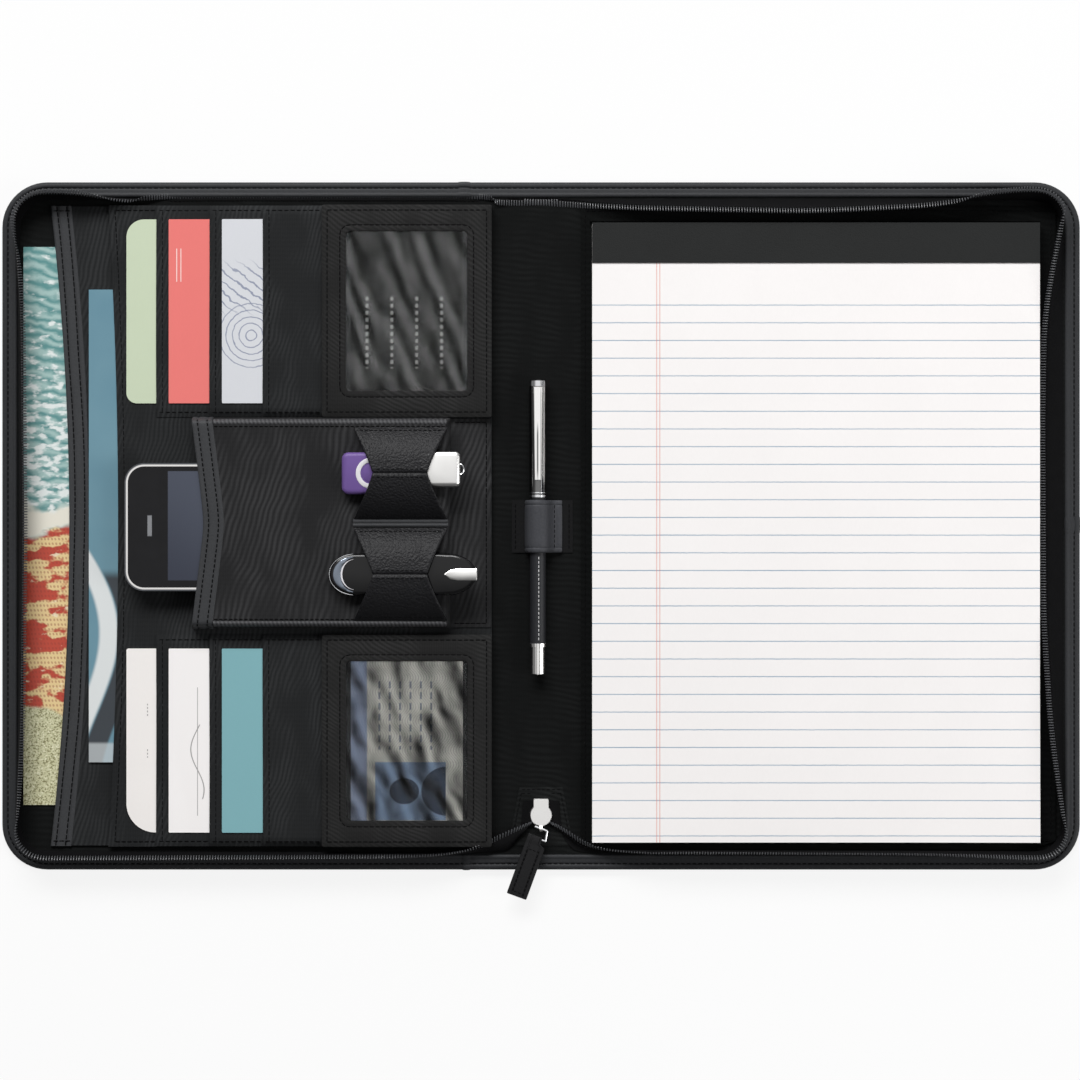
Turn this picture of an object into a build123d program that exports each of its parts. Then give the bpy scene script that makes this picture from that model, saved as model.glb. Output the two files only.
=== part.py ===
"""Zippered padfolio lying open and flat, stocked as in the photograph.

X runs across the two covers, Y up the page, Z up from the table. The origin is
the middle of the spine on its outer face. All sizes are millimetres.
"""

import os
from math import cos, radians, sin

from build123d import *

os.makedirs("parts", exist_ok=True)

FRONT = -1
BACK = 1

# Writing pad, which sets the size of the covers
pad_width = 215.9
pad_height = 298.5
pad_gutter = 8.7
pad_side_margin = 20.4
pad_head_margin = 20.7
pad_foot_margin = 13.8
pad_back_thick = 0.7
pad_stack = 5.0
pad_head = 19.0
head_thick = 0.5
leaf_thick = 0.2
leaf_gap = 0.05
pad_pocket_inset = 12.0
slit_low = 2.2
slit_room = 1.0

# Cover: two boards and a spine that folds along two lines
spine_width = 32.0
corner_radius = 22.0
skin_thick = 1.0
board_thick = 1.5
lining_thick = 0.3
binding_width = 7.5
binding_thick = 2.4
fold_setback = 3.5
skin_gap = 0.15

# Zip: standing tapes round each cover with a coil of teeth along the top
tape_inset = 8.4
tape_thick = 0.5
tape_top = 13.6
tape_low_end = 4.2
tape_low_run = 5.0
tape_rise_run = 36.0
tooth_pitch = 3.3
tooth_root = 1.1
tooth_tip = 2.8
tooth_height = 1.6

# Zip end on the spine, with the slider and its pull
tail_width = 20.0
tail_up = 39.9
slider_up = 34.6
slider_length = 13.0
slider_neck = 7.5
slider_width = 10.5
plate_thick = 1.0
eye_radius = 0.95
eye_wall = 0.5
eye_width = 1.4
chain_half = 2.6
chain_low = 4.2
chain_high = 5.6
pull_swing = 20.0
wire = 1.2
link_length = 5.0
link_width = 6.4
link_bar = 8.0
link_clear = 0.3
tab_length = 27.3
tab_width = 10.0
tab_thick = 2.4
tab_round = 1.5

# Organiser sewn to the front cover
organiser_edge = 7.8
organiser_margin = 11.5
seam = 1.2
ply_gap = 0.05
cloth = 0.3
paper_gap = 0.1
trim_width = 10.0
trim_thick = 0.4
file_margin = 33.0
file_dip = 9.0
document_setback = 23.5
document_dip = 4.7
block_inner = 52.4
slot_count = 3
slot_first = 170.0
slot_pitch = 25.8
card_out_first = 14.4
card_out = 19.7
window_mouth = 82.0
window_width = 58.5
window_height = 77.0
window_lap = 4.0

# Papers and cards
magazine_margin = 39.0
magazine_height = 270.0
magazine_thick = 0.6
brochure_width = 101.6
brochure_height = 228.6
brochure_out = 9.5
card_width = 50.8
card_height = 88.9
card_thick = 0.3
plastic_width = 54.0
plastic_height = 85.6
plastic_thick = 0.7
film_thick = 0.2

# Phone pocket, with a loop for each memory stick on its face
pocket_low = -49.5
pocket_high = 52.4
pocket_mouth = 146.0
pocket_dip = 5.8
pocket_end = 20.0
pocket_cloth = 0.4
phone_length = 115.0
phone_width = 61.5
phone_thick = 9.0
phone_radius = 9.5
phone_out = 32.5
loop_span = 44.6
loop_width = 45.0
loop_waist = 26.5
loop_crest = 8.2
loop_thick = 0.7
loop_inside = 23.7
loop_upper_y = 25.2
loop_lower_y = -23.3
loop_foot = 3.0
stick_width = 20.0
stick_thick = 5.6
stick_radius = 6.0
stick_bevel = 1.6
violet_length = 57.0
violet_split = 23.0
violet_shift = 0.5
black_length = 71.0
black_split = 28.0
black_shift = 1.1
plug_length = 12.0
plug_width = 12.0
plug_thick = 4.4
plug_clear = 0.2

# Pen and its loop on the spine
pen_x = -1.5
pen_top_y = 70.3
pen_length = 142.0
cap_length = 56.7
cap_radius = 4.2
barrel_radius = 3.8
ferrule_length = 15.0
grip_radius = 2.8
grip_length = 32.0
pen_loop_clear = 0.35
pen_loop_thick = 0.8
pen_loop_length = 25.7
pen_floor = 0.95
clip_width = 4.4
clip_end = 3.4
clip_length = 45.0
ferrule_lip = 1.6

# Levels that follow from the sizes above
cover_width = pad_gutter + pad_width + pad_side_margin
cover_height = pad_head_margin + pad_height + pad_foot_margin
fold_x = spine_width / 2
edge_x = fold_x + cover_width
half_high = cover_height / 2
board_z = skin_thick + board_thick
floor_z = board_z + lining_thick
binding_z = skin_thick + binding_thick
zip_start = fold_setback + tape_low_run
rise_end = zip_start + tape_rise_run
org_right = -fold_x - organiser_edge
organiser_high = half_high - organiser_margin
file_mouth = cover_width - file_margin
document_mouth = file_mouth - document_setback
magazine_width = cover_width - magazine_margin
tail_top_y = tail_up - half_high
slider_y = slider_up - half_high


def finish(piece, name):
    """Label one finished piece and write its file."""
    piece.part.label = name
    export_step(piece.part, f"parts/{name}.step")


def block(left, right, low, high, bottom, top, mode=Mode.ADD):
    """A box between six planes, in the piece being built."""
    with Locations(((left + right) / 2, (low + high) / 2, (bottom + top) / 2)):
        Box(right - left, high - low, top - bottom, mode=mode)


def rod(plane, start, end):
    """A round wire between two points of a plane, in the piece being built."""
    first = plane.from_local_coords(Vector(*start))
    run = plane.from_local_coords(Vector(*end)) - first
    with Locations(Plane(first, z_dir=run).location):
        Cylinder(wire / 2, run.length, align=(Align.CENTER, Align.CENTER, Align.MIN))


def rectangle_between(left, right, low, high, radius=0.0):
    """A rectangle between four lines, in the sketch being drawn."""
    with Locations(((left + right) / 2, (low + high) / 2)):
        if radius:
            RectangleRounded(right - left, high - low, radius)
        else:
            Rectangle(right - left, high - low)


def cover_path(side, inset, setback):
    """The line round a cover's three outer sides, in from its edge."""
    near = side * (fold_x + setback)
    far = side * (edge_x - inset)
    high = half_high - inset
    corners = ((near, high), (far, high), (far, -high), (near, -high))
    with BuildLine() as path:
        FilletPolyline(*corners, radius=corner_radius - inset)
    return path.wire()


def cover_outline(side, inset, setback):
    """A cover's whole outline, in the sketch being drawn."""
    rim = cover_path(side, inset, setback)
    with BuildLine() as close:
        Line(rim @ 1, rim @ 0)
    make_face(rim.edges() + close.edges())


def cover_strip(side, inset, width, setback):
    """A strip that follows a cover's three outer sides, in the sketch being drawn."""
    outer = cover_path(side, inset, setback)
    inner = cover_path(side, inset + width, setback)
    with BuildLine() as ends:
        Line(outer @ 0, inner @ 0)
        Line(outer @ 1, inner @ 1)
    make_face(outer.edges() + inner.edges() + ends.edges())


def comb_outline(path, side):
    """A strip with a row of pointed teeth on one side of a path, in the sketch being drawn."""
    count = int(path.length / tooth_pitch)
    points = []
    for step in range(2 * count + 1):
        place = step / (2 * count)
        reach = tooth_tip if step % 2 else tooth_root
        along = path % place
        points.append(path @ place + Vector(along.Y, -along.X) * (side * reach))
    with BuildLine() as teeth:
        Polyline(*points)
        Line(path @ 0, points[0])
        Line(path @ 1, points[-1])
    make_face(path.edges() + teeth.edges())


def mouth_outline(mouth, dip, right, low, high):
    """A pocket front whose mouth on the left is a shallow hollow curve."""
    left = -fold_x - mouth - dip
    middle = (low + high) / 2
    with BuildLine() as rim:
        ThreePointArc((left, high), (left + dip, middle), (left, low))
        Polyline((left, low), (right, low), (right, high), (left, high))
    make_face(rim.edges())


def mouth_trim(mouth, dip, low, high):
    """The trim band that follows a pocket's curved mouth."""
    left = -fold_x - mouth - dip
    middle = (low + high) / 2
    inner = left + trim_width
    with BuildLine() as rim:
        ThreePointArc((left, high), (left + dip, middle), (left, low))
        Line((left, low), (inner, low))
        ThreePointArc((inner, low), (inner + dip, middle), (inner, high))
        Line((inner, high), (left, high))
    make_face(rim.edges())


# Covers: skin, board, lining, binding, zip tape and teeth on each side
for side, name in ((FRONT, "front"), (BACK, "back")):
    with BuildPart() as skin:
        with BuildSketch():
            cover_outline(side, 0, skin_gap)
        extrude(amount=skin_thick)
    finish(skin, f"{name}_skin")

    with BuildPart() as board:
        with BuildSketch(Plane.XY.offset(skin_thick)):
            cover_outline(side, binding_width, fold_setback)
        extrude(amount=board_thick)
    finish(board, f"{name}_board")

    with BuildPart() as lining:
        with BuildSketch(Plane.XY.offset(board_z)):
            cover_outline(side, binding_width, fold_setback)
        extrude(amount=lining_thick)
    finish(lining, f"{name}_lining")

    with BuildPart() as binding:
        with BuildSketch(Plane.XY.offset(skin_thick)):
            cover_strip(side, 0, binding_width, fold_setback - 0.5)
        extrude(amount=binding_thick)
        rim = binding.edges().group_by(Axis.Z)[-1]
        end_x = fold_x + fold_setback - 0.5
        chamfer([e for e in rim if abs(e.center().X) > end_x + 0.1], 0.7)
    finish(binding, f"{name}_binding")

    with BuildPart() as tape:
        with BuildSketch(Plane.XY.offset(floor_z)):
            cover_strip(side, tape_inset, tape_thick, fold_setback)
        extrude(amount=tape_top - floor_z)
        # the tape comes down towards the spine
        start = side * (fold_x + fold_setback - 1)
        rise = side * (fold_x + rise_end)
        with BuildSketch(Plane.XZ):
            with BuildLine():
                foot = side * (fold_x + zip_start)
                Polyline((start, tape_low_end), (foot, tape_low_end), (rise, tape_top))
                Polyline((rise, tape_top), (rise, 2 * tape_top), (start, 2 * tape_top))
                Line((start, 2 * tape_top), (start, tape_low_end))
            make_face()
        extrude(amount=cover_height, both=True, mode=Mode.SUBTRACT)
    finish(tape, f"{name}_zip_tape")

    comb_inset = tape_inset - 0.3
    run = Vector(side * tape_rise_run, 0, tape_top - tape_low_end)
    with BuildPart() as teeth:
        with BuildSketch(Plane.XY.offset(tape_top)):
            comb_outline(cover_path(side, comb_inset, rise_end + 0.6), side)
        extrude(amount=tooth_height)
        for row in (1, -1):
            foot = (side * (fold_x + zip_start), row * (half_high - comb_inset), tape_low_end)
            with BuildSketch(Plane(foot, x_dir=run, z_dir=run.cross(Vector(0, side, 0)))):
                with BuildLine(mode=Mode.PRIVATE) as lead:
                    Line((0.4, 0), (run.length - 0.4, 0))
                comb_outline(lead.wire(), row * side)
            extrude(amount=tooth_height)
    finish(teeth, f"{name}_zip_teeth")

# Spine
spine_in = fold_x - fold_setback + 0.5
binding_low = half_high - binding_width

with BuildPart() as spine_skin:
    with BuildSketch():
        Rectangle(spine_width - 2 * skin_gap, cover_height)
    extrude(amount=skin_thick)
finish(spine_skin, "spine_skin")

with BuildPart() as spine_board:
    block(-spine_in, spine_in, -binding_low, binding_low, skin_thick, board_z)
finish(spine_board, "spine_board")

with BuildPart() as spine_lining:
    block(-spine_in, spine_in, -binding_low, binding_low, board_z, floor_z)
finish(spine_lining, "spine_lining")

with BuildPart() as spine_binding:
    for row in (1, -1):
        low, high = sorted((row * binding_low, row * half_high))
        block(-fold_x + 0.5, fold_x - 0.5, low, high, skin_thick, binding_z)
finish(spine_binding, "spine_binding")

# Zip end: a flat tab sewn to the spine, the closed chain and the two leads
with BuildPart() as zip_end_tab:
    with BuildSketch(Plane.XY.offset(floor_z)):
        low = -binding_low + 3
        with BuildLine():
            Polyline((-tail_width / 2, tail_top_y), (tail_width / 2, tail_top_y), (spine_in, low))
            Polyline((spine_in, low), (-spine_in, low), (-tail_width / 2, tail_top_y))
        make_face()
    extrude(amount=pocket_cloth)
finish(zip_end_tab, "zip_end_tab")

tab_z = floor_z + pocket_cloth
chain_top = tail_top_y - 2
chain_fork = slider_y - 6.4
lead_end = (spine_in - 0.2, -binding_low + 8)
with BuildPart() as zip_tail:
    block(-1.6, 1.6, chain_fork, chain_top, chain_low, chain_high)
    ribs = int((chain_top - chain_fork) / 1.6)
    for rib in range(ribs):
        y = chain_fork + 1.0 + 1.6 * rib
        block(-chain_half, chain_half, y - 0.4, y + 0.4, chain_low + 0.1, chain_high - 0.1)
    block(-tail_width / 2, tail_width / 2, chain_top, tail_top_y - 0.3, tab_z, chain_high)
    for side in (FRONT, BACK):
        with BuildSketch(Plane.XY.offset(chain_low)):
            with BuildLine(mode=Mode.PRIVATE) as lead:
                top = (side * 0.5, chain_fork + 0.1)
                middle = (side * 4.0, chain_fork - 7.3)
                ThreePointArc(top, middle, (side * lead_end[0], lead_end[1]))
            comb_outline(lead.wire(), -side)
        extrude(amount=chain_high - chain_low)
        low_x, high_x = sorted((side * (lead_end[0] - 4), side * lead_end[0]))
        block(low_x, high_x, lead_end[1] - 0.4, lead_end[1] + 2.2, tab_z, chain_low)
finish(zip_tail, "zip_tail")

with BuildPart() as zip_head:
    head_low = half_high - tape_inset - 7
    head_high = half_high - tape_inset
    block(-spine_in, spine_in, head_low, head_high, floor_z, floor_z + cloth)
    with BuildSketch(Plane.XY.offset(floor_z + cloth)):
        with BuildLine(mode=Mode.PRIVATE) as head_line:
            Line((-spine_in + 0.3, head_high - 1), (spine_in - 0.3, head_high - 1))
        comb_outline(head_line.wire(), BACK)
    extrude(amount=cloth)
finish(zip_head, "zip_head")

# Slider: two plates joined by a post and side flanges, with an eye at the open end
slider_low = slider_y - slider_length
eye_y = slider_low - eye_radius - 0.4
plate_low = tab_z + 0.1
plate_high = chain_high + 0.25
eye_z = plate_high + eye_radius + eye_wall
neck, body = slider_neck / 2, slider_width / 2
bulge_y = slider_low + body
with BuildPart() as zip_slider:
    for level, thick in ((plate_low, chain_low - 0.2 - plate_low), (plate_high, plate_thick)):
        with BuildSketch(Plane.XY.offset(level)) as bottle:
            rectangle_between(-neck, neck, bulge_y, slider_y)
            with Locations((0, bulge_y)):
                Circle(body)
            fillet(bottle.vertices().group_by(Axis.Y)[-1], 0.8)
        extrude(amount=thick)
    chamfer(zip_slider.faces().sort_by(Axis.Z)[-1].edges(), 0.25)
    with BuildSketch(Plane.XY.offset(plate_low + 0.1)):
        with Locations((0, slider_low + 1.3)):
            Circle(0.75)
    extrude(amount=plate_high - plate_low)
    for side in (FRONT, BACK):
        low_x, high_x = sorted((side * (body - 1.05), side * (body - 0.25)))
        block(low_x, high_x, bulge_y - 1.2, bulge_y + 1.4, plate_low + 0.1, plate_high + 0.1)
    with BuildSketch(Plane.YZ):
        with Locations((eye_y, eye_z)):
            Circle(eye_radius + eye_wall)
        root = (eye_z - eye_radius - eye_wall, plate_high + plate_thick)
        rectangle_between(eye_y, slider_low + 0.6, *root)
    extrude(amount=eye_width / 2, both=True)
    with BuildSketch(Plane.YZ):
        with Locations((eye_y, eye_z)):
            Circle(eye_radius)
    extrude(amount=slider_width, both=True, mode=Mode.SUBTRACT)
finish(zip_slider, "zip_slider")

# Pull: an open wire hook through the eye and a leather tab on the hook
swing = radians(pull_swing)
pull_plane = Plane((0, eye_y, eye_z), x_dir=(cos(swing), -sin(swing), 0), z_dir=(0, 0, 1))
link_half = link_width / 2
bar_half = link_bar / 2
with BuildPart() as pull_hook:
    rod(pull_plane, (-link_half, 0), (link_half, 0))
    rod(pull_plane, (link_half, 0), (bar_half, -link_length))
    rod(pull_plane, (-bar_half, -link_length), (bar_half, -link_length))
finish(pull_hook, "pull_hook")

with BuildPart() as pull_tab:
    with BuildSketch(pull_plane.offset(-tab_thick / 2)):
        neck_low = -link_length - tab_thick
        neck_right = link_half - wire / 2 - link_clear
        rectangle_between(-tab_width / 2, neck_right, neck_low - 2, -link_length + tab_thick / 2)
        rectangle_between(-tab_width / 2, tab_width / 2, neck_low - tab_length, neck_low, tab_round)
    extrude(amount=tab_thick)
    bar_centre = pull_plane.from_local_coords(Vector(0, -link_length, 0))
    with BuildSketch(Plane(bar_centre, x_dir=(0, 0, 1), z_dir=pull_plane.x_dir)):
        Circle(wire / 2 + link_clear)
    extrude(amount=tab_width, both=True, mode=Mode.SUBTRACT)
finish(pull_tab, "pull_tab")

# Front organiser, from the lining up
file_z = floor_z + magazine_thick + 2 * paper_gap
file_top = file_z + cloth
trim_top = file_top + trim_thick
brochure_z = trim_top + paper_gap
document_z = brochure_z + 0.2 + paper_gap
document_top = document_z + cloth

# sewn edges that carry the two pocket fronts above the lining
inner = organiser_high - seam
file_left = -fold_x - file_mouth - file_dip
with BuildPart() as organiser_seams:
    block(file_left, org_right, inner, organiser_high, floor_z, document_z)
    block(file_left, org_right, -organiser_high, -inner, floor_z, document_z)
    block(org_right - seam, org_right, -inner, inner, floor_z, document_z)
finish(organiser_seams, "organiser_seams")

with BuildPart() as file_pocket:
    with BuildSketch(Plane.XY.offset(file_z)):
        mouth_outline(file_mouth, file_dip, org_right - seam, -inner, inner)
    extrude(amount=cloth)
finish(file_pocket, "file_pocket")

with BuildPart() as file_pocket_trim:
    with BuildSketch(Plane.XY.offset(file_top)):
        mouth_trim(file_mouth, file_dip, -inner, inner)
    extrude(amount=trim_thick)
finish(file_pocket_trim, "file_pocket_trim")

with BuildPart() as document_pocket:
    with BuildSketch(Plane.XY.offset(document_z)):
        mouth_outline(document_mouth, document_dip, org_right, -organiser_high, organiser_high)
    extrude(amount=cloth)
finish(document_pocket, "document_pocket")

magazine_left = -edge_x + tape_inset + tape_thick + 1.6
with BuildPart() as magazine:
    right = magazine_left + magazine_width
    low = floor_z + paper_gap
    block(magazine_left, right, -magazine_height / 2, magazine_height / 2, low, low + magazine_thick)
finish(magazine, "magazine")

brochure_left = -fold_x - document_mouth - brochure_out - document_dip
with BuildPart() as brochure:
    right = brochure_left + brochure_width
    low, high = -brochure_height / 2, brochure_height / 2
    block(brochure_left, right, low, high, brochure_z, brochure_z + 0.2)
finish(brochure, "brochure")

# Card slots: stepped layers in the upper and lower blocks
slot_step = card_thick + 2 * paper_gap + cloth
slot_mouths = [slot_first - level * slot_pitch for level in range(slot_count)]
blocks_y = ((block_inner, organiser_high), (-organiser_high, -block_inner))
slot_right = org_right - seam
for (low, high), name in zip(blocks_y, ("upper", "lower")):
    with BuildPart() as card_slots:
        for level, mouth in enumerate(slot_mouths):
            left = -fold_x - mouth
            bottom = document_top + level * slot_step
            front = bottom + slot_step - cloth
            rail = (bottom + ply_gap, front - ply_gap)
            block(left, slot_right - ply_gap, low, high, front, front + cloth)
            block(left, slot_right - ply_gap, low, low + seam, *rail)
            block(left, slot_right - ply_gap, high - seam, high, *rail)
        block(slot_right, org_right, low, high, document_top, document_top + slot_count * slot_step)
    finish(card_slots, f"card_slots_{name}")

card_names = (
    ("card_green", "card_coral", "card_white"),
    ("card_cream", "card_ivory", "card_teal"),
)
card_corners = (((5.0, 8.5), (0.5, 0.5), (0.5, 0.5)), ((14.0, 1.0), (0.5, 0.5), (0.5, 0.5)))
for (low, high), names, rounds in zip(blocks_y, card_names, card_corners):
    middle = (low + high) / 2
    half = card_height / 2
    for level, (mouth, name, ends) in enumerate(zip(slot_mouths, names, rounds)):
        left = -fold_x - mouth - (card_out if level else card_out_first)
        bottom = document_top + level * slot_step + paper_gap
        with BuildPart() as card:
            with BuildSketch(Plane.XY.offset(bottom)) as face:
                rectangle_between(left, left + card_width, middle - half, middle + half)
                for end, radius in zip((0, -1), ends):
                    left_ends = face.vertices().group_by(Axis.X)[0].sort_by(Axis.Y)
                    fillet(left_ends[end], radius)
            extrude(amount=card_thick)
        finish(card, name)

# Window pockets beside the card slots
window_z = document_top + slot_count * slot_step
film_z = window_z + plastic_thick + 2 * paper_gap
window_low = film_z + film_thick
window_top = window_low + pocket_cloth
window_left = -fold_x - window_mouth - organiser_edge
window_x = (window_left + org_right) / 2
with BuildPart() as window_pockets:
    for low, high in blocks_y:
        middle = (low + high) / 2
        block(window_left, org_right, low, high, window_z, window_top)
        cut = (window_left - 1, org_right - seam, low + seam, high - seam)
        block(*cut, window_z, window_low, mode=Mode.SUBTRACT)
        half_x, half_y = window_width / 2, window_height / 2
        opening = (window_x - half_x, window_x + half_x, middle - half_y, middle + half_y)
        block(*opening, window_z, window_top + 1, mode=Mode.SUBTRACT)
finish(window_pockets, "window_pockets")

with BuildPart() as window_films:
    for low, high in blocks_y:
        middle = (low + high) / 2
        half_x = window_width / 2 + window_lap
        half_y = window_height / 2 + window_lap
        block(window_x - half_x, window_x + half_x, middle - half_y, middle + half_y, film_z, window_low)
finish(window_films, "window_films")

for (low, high), name in zip(blocks_y, ("window_card_dark", "window_card_pale")):
    middle = (low + high) / 2
    with BuildPart() as plastic:
        with BuildSketch(Plane.XY.offset(window_z + paper_gap)):
            half_x, half_y = plastic_width / 2, plastic_height / 2
            left, right = window_x - half_x, window_x + half_x
            rectangle_between(left, right, middle - half_y, middle + half_y, 3.2)
        extrude(amount=plastic_thick)
    finish(plastic, name)

# Phone pocket: a gusset on three sides and a front with a trimmed mouth
phone_z = document_top + paper_gap
pocket_z = phone_z + phone_thick + paper_gap
pocket_top = pocket_z + pocket_cloth
pocket_right = org_right - pocket_end
pocket_left = -fold_x - pocket_mouth - pocket_dip
with BuildPart() as phone_pocket_gusset:
    block(pocket_left, pocket_right, pocket_low, pocket_high, document_top, pocket_z)
    cut = (pocket_left - 1, pocket_right - pocket_cloth)
    sides = (pocket_low + pocket_cloth, pocket_high - pocket_cloth)
    block(*cut, *sides, document_top, pocket_z, mode=Mode.SUBTRACT)
finish(phone_pocket_gusset, "phone_pocket_gusset")

with BuildPart() as phone_pocket_front:
    with BuildSketch(Plane.XY.offset(pocket_z)):
        mouth_outline(pocket_mouth, pocket_dip, pocket_right, pocket_low, pocket_high)
    extrude(amount=pocket_cloth)
finish(phone_pocket_front, "phone_pocket_front")

with BuildPart() as phone_pocket_trim:
    with BuildSketch(Plane.XY.offset(pocket_top)):
        mouth_trim(pocket_mouth, pocket_dip, pocket_low, pocket_high)
    extrude(amount=trim_thick)
finish(phone_pocket_trim, "phone_pocket_trim")

phone_left = pocket_left - phone_out
phone_y = (pocket_low + pocket_high) / 2 - 2
phone_box = (
    phone_left,
    phone_left + phone_length,
    phone_y - phone_width / 2,
    phone_y + phone_width / 2,
)
glass_in = (phone_box[0] + 1.6, phone_box[1] - 1.6, phone_box[2] + 1.6, phone_box[3] - 1.6)
with BuildPart() as phone_body:
    with BuildSketch(Plane.XY.offset(phone_z)):
        rectangle_between(*phone_box, phone_radius)
    extrude(amount=phone_thick)
    chamfer(phone_body.edges().group_by(Axis.Z)[0], 1.2)
    with BuildSketch(Plane.XY.offset(phone_z + phone_thick - 0.5)):
        rectangle_between(*glass_in, phone_radius - 1.6)
    extrude(amount=1, mode=Mode.SUBTRACT)
finish(phone_body, "phone_body")

with BuildPart() as phone_glass:
    with BuildSketch(Plane.XY.offset(phone_z + phone_thick - 0.5)):
        rectangle_between(*glass_in, phone_radius - 1.6)
    extrude(amount=0.5)
finish(phone_glass, "phone_glass")

# Memory stick loops: arched straps, narrow at the crest and wide at their sewn ends
loop_x = pocket_right - loop_inside
loop_centres = (loop_upper_y, loop_lower_y)
half = loop_span / 2
wide, waist = loop_width / 2, loop_waist / 2
with BuildPart() as usb_loops:
    for y in loop_centres:
        with BuildSketch(Plane.YZ.offset(loop_x)):
            with BuildLine():
                left, right = (y - half, pocket_top), (y + half, pocket_top)
                inner_left = (y - half + loop_foot, pocket_top)
                inner_right = (y + half - loop_foot, pocket_top)
                ThreePointArc(left, (y, pocket_top + loop_crest + loop_thick), right)
                Line(right, inner_right)
                ThreePointArc(inner_right, (y, pocket_top + loop_crest), inner_left)
                Line(inner_left, left)
            make_face()
        extrude(amount=wide, both=True)
    with BuildSketch(Plane.XY.offset(pocket_top)):
        for y in loop_centres:
            with BuildLine():
                Polyline(
                    (loop_x - wide, y - half),
                    (loop_x + wide, y - half),
                    (loop_x + waist, y),
                    (loop_x + wide, y + half),
                    (loop_x - wide, y + half),
                    (loop_x - waist, y),
                    close=True,
                )
            make_face()
    extrude(amount=loop_crest + 2 * loop_thick, mode=Mode.INTERSECT)
finish(usb_loops, "usb_loops")

# Memory sticks: each has a plug on its body and a hollow cap over the plug
stick_z = pocket_top + trim_thick + paper_gap
sticks = (
    ("usb_violet", loop_x + violet_shift, loop_upper_y, violet_length, violet_split),
    ("usb_black", loop_x + black_shift, loop_lower_y, black_length, black_split),
)
for name, x, y, length, cap in sticks:
    left, right = x - length / 2, x + length / 2
    split = right - cap
    low, high = y - stick_width / 2, y + stick_width / 2
    plug_z = stick_z + (stick_thick - plug_thick) / 2
    with BuildPart() as usb_body:
        with BuildSketch(Plane.XY.offset(stick_z)):
            rectangle_between(left, split, low, high, stick_radius)
            rectangle_between(split - 2 * stick_radius, split, low, high)
        extrude(amount=stick_thick)
        rim = usb_body.edges().group_by(Axis.Z)[-1]
        chamfer([e for e in rim if e.center().X < split - 0.1], stick_bevel)
        plug_y = (y - plug_width / 2, y + plug_width / 2)
        block(split - 1, split + plug_length, *plug_y, plug_z, plug_z + plug_thick)
    finish(usb_body, f"{name}_body")

    with BuildPart() as usb_cap:
        with BuildSketch(Plane.XY.offset(stick_z)):
            rectangle_between(split, right, low, high, stick_radius)
            rectangle_between(split, split + 2 * stick_radius, low, high)
        extrude(amount=stick_thick)
        rim = usb_cap.edges().group_by(Axis.Z)[-1]
        chamfer([e for e in rim if e.center().X > split + 0.1], stick_bevel)
        room_y = (plug_y[0] - plug_clear, plug_y[1] + plug_clear)
        room_z = (plug_z - plug_clear, plug_z + plug_thick + plug_clear)
        block(split - 1, split + plug_length + plug_clear, *room_y, *room_z, mode=Mode.SUBTRACT)
    finish(usb_cap, f"{name}_cap")

# Pad: its back slips under the pocket, through a slit below the head
pad_left = fold_x + pad_gutter
pad_right = pad_left + pad_width
pad_top = half_high - pad_head_margin
pad_low = pad_top - pad_height
pad_pocket_z = floor_z + pad_back_thick + paper_gap
pages_z = pad_pocket_z + cloth
pages_top = pages_z + pad_stack
seam_low = pad_pocket_inset + corner_radius - half_high
seam_right = edge_x - pad_pocket_inset
seam_left = fold_x + fold_setback
seam_top = pad_pocket_z - ply_gap
with BuildPart() as pad_pocket:
    block(seam_left, seam_left + seam, seam_low, -seam_low, floor_z, seam_top)
    block(seam_right - seam, seam_right, seam_low, -seam_low, floor_z, seam_top)
    foot = pad_pocket_inset - half_high
    block(seam_left + seam + 1, edge_x - corner_radius, foot, foot + seam, floor_z, seam_top)
    with BuildSketch(Plane.XY.offset(pad_pocket_z)):
        cover_outline(BACK, pad_pocket_inset, fold_setback)
        slit = (pad_top - slit_low, pad_top + head_thick + slit_room)
        with Locations(((pad_left + pad_right) / 2, sum(slit) / 2)):
            Rectangle(pad_width + 2 * slit_room, slit[1] - slit[0], mode=Mode.SUBTRACT)
    extrude(amount=cloth)
finish(pad_pocket, "pad_pocket")

with BuildPart() as pad_backing:
    block(pad_left, pad_right, pad_low, pad_top, floor_z, floor_z + pad_back_thick)
finish(pad_backing, "pad_backing")

with BuildPart() as pad_sheets:
    block(pad_left, pad_right, pad_low, pad_top, pages_z, pages_top)
finish(pad_sheets, "pad_sheets")

with BuildPart() as pad_binding:
    head_top = pages_top + head_thick
    block(pad_left, pad_right, pad_top - pad_head, pad_top + head_thick, pages_top, head_top)
    block(pad_left, pad_right, pad_top, pad_top + head_thick, floor_z, head_top)
finish(pad_binding, "pad_binding")

with BuildPart() as top_sheet:
    leaf_z = pages_top + leaf_gap
    leaf_high = pad_top - pad_head - head_thick
    block(pad_left, pad_right, pad_low, leaf_high, leaf_z, leaf_z + leaf_thick)
finish(top_sheet, "top_sheet")

# Pen, lying up the spine in its loop
pen_z = floor_z + pen_floor + cap_radius
pen_axis = Plane((pen_x, pen_top_y, pen_z), x_dir=(1, 0, 0), z_dir=(0, -1, 0))
tail_start = pen_length - ferrule_length
with BuildPart() as pen_barrel:
    with BuildSketch(pen_axis.offset(cap_length)):
        Circle(barrel_radius)
    extrude(amount=tail_start - cap_length)
    with BuildSketch(pen_axis.offset(cap_length - grip_length)):
        Circle(grip_radius)
    extrude(amount=grip_length)
finish(pen_barrel, "pen_barrel")

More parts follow.
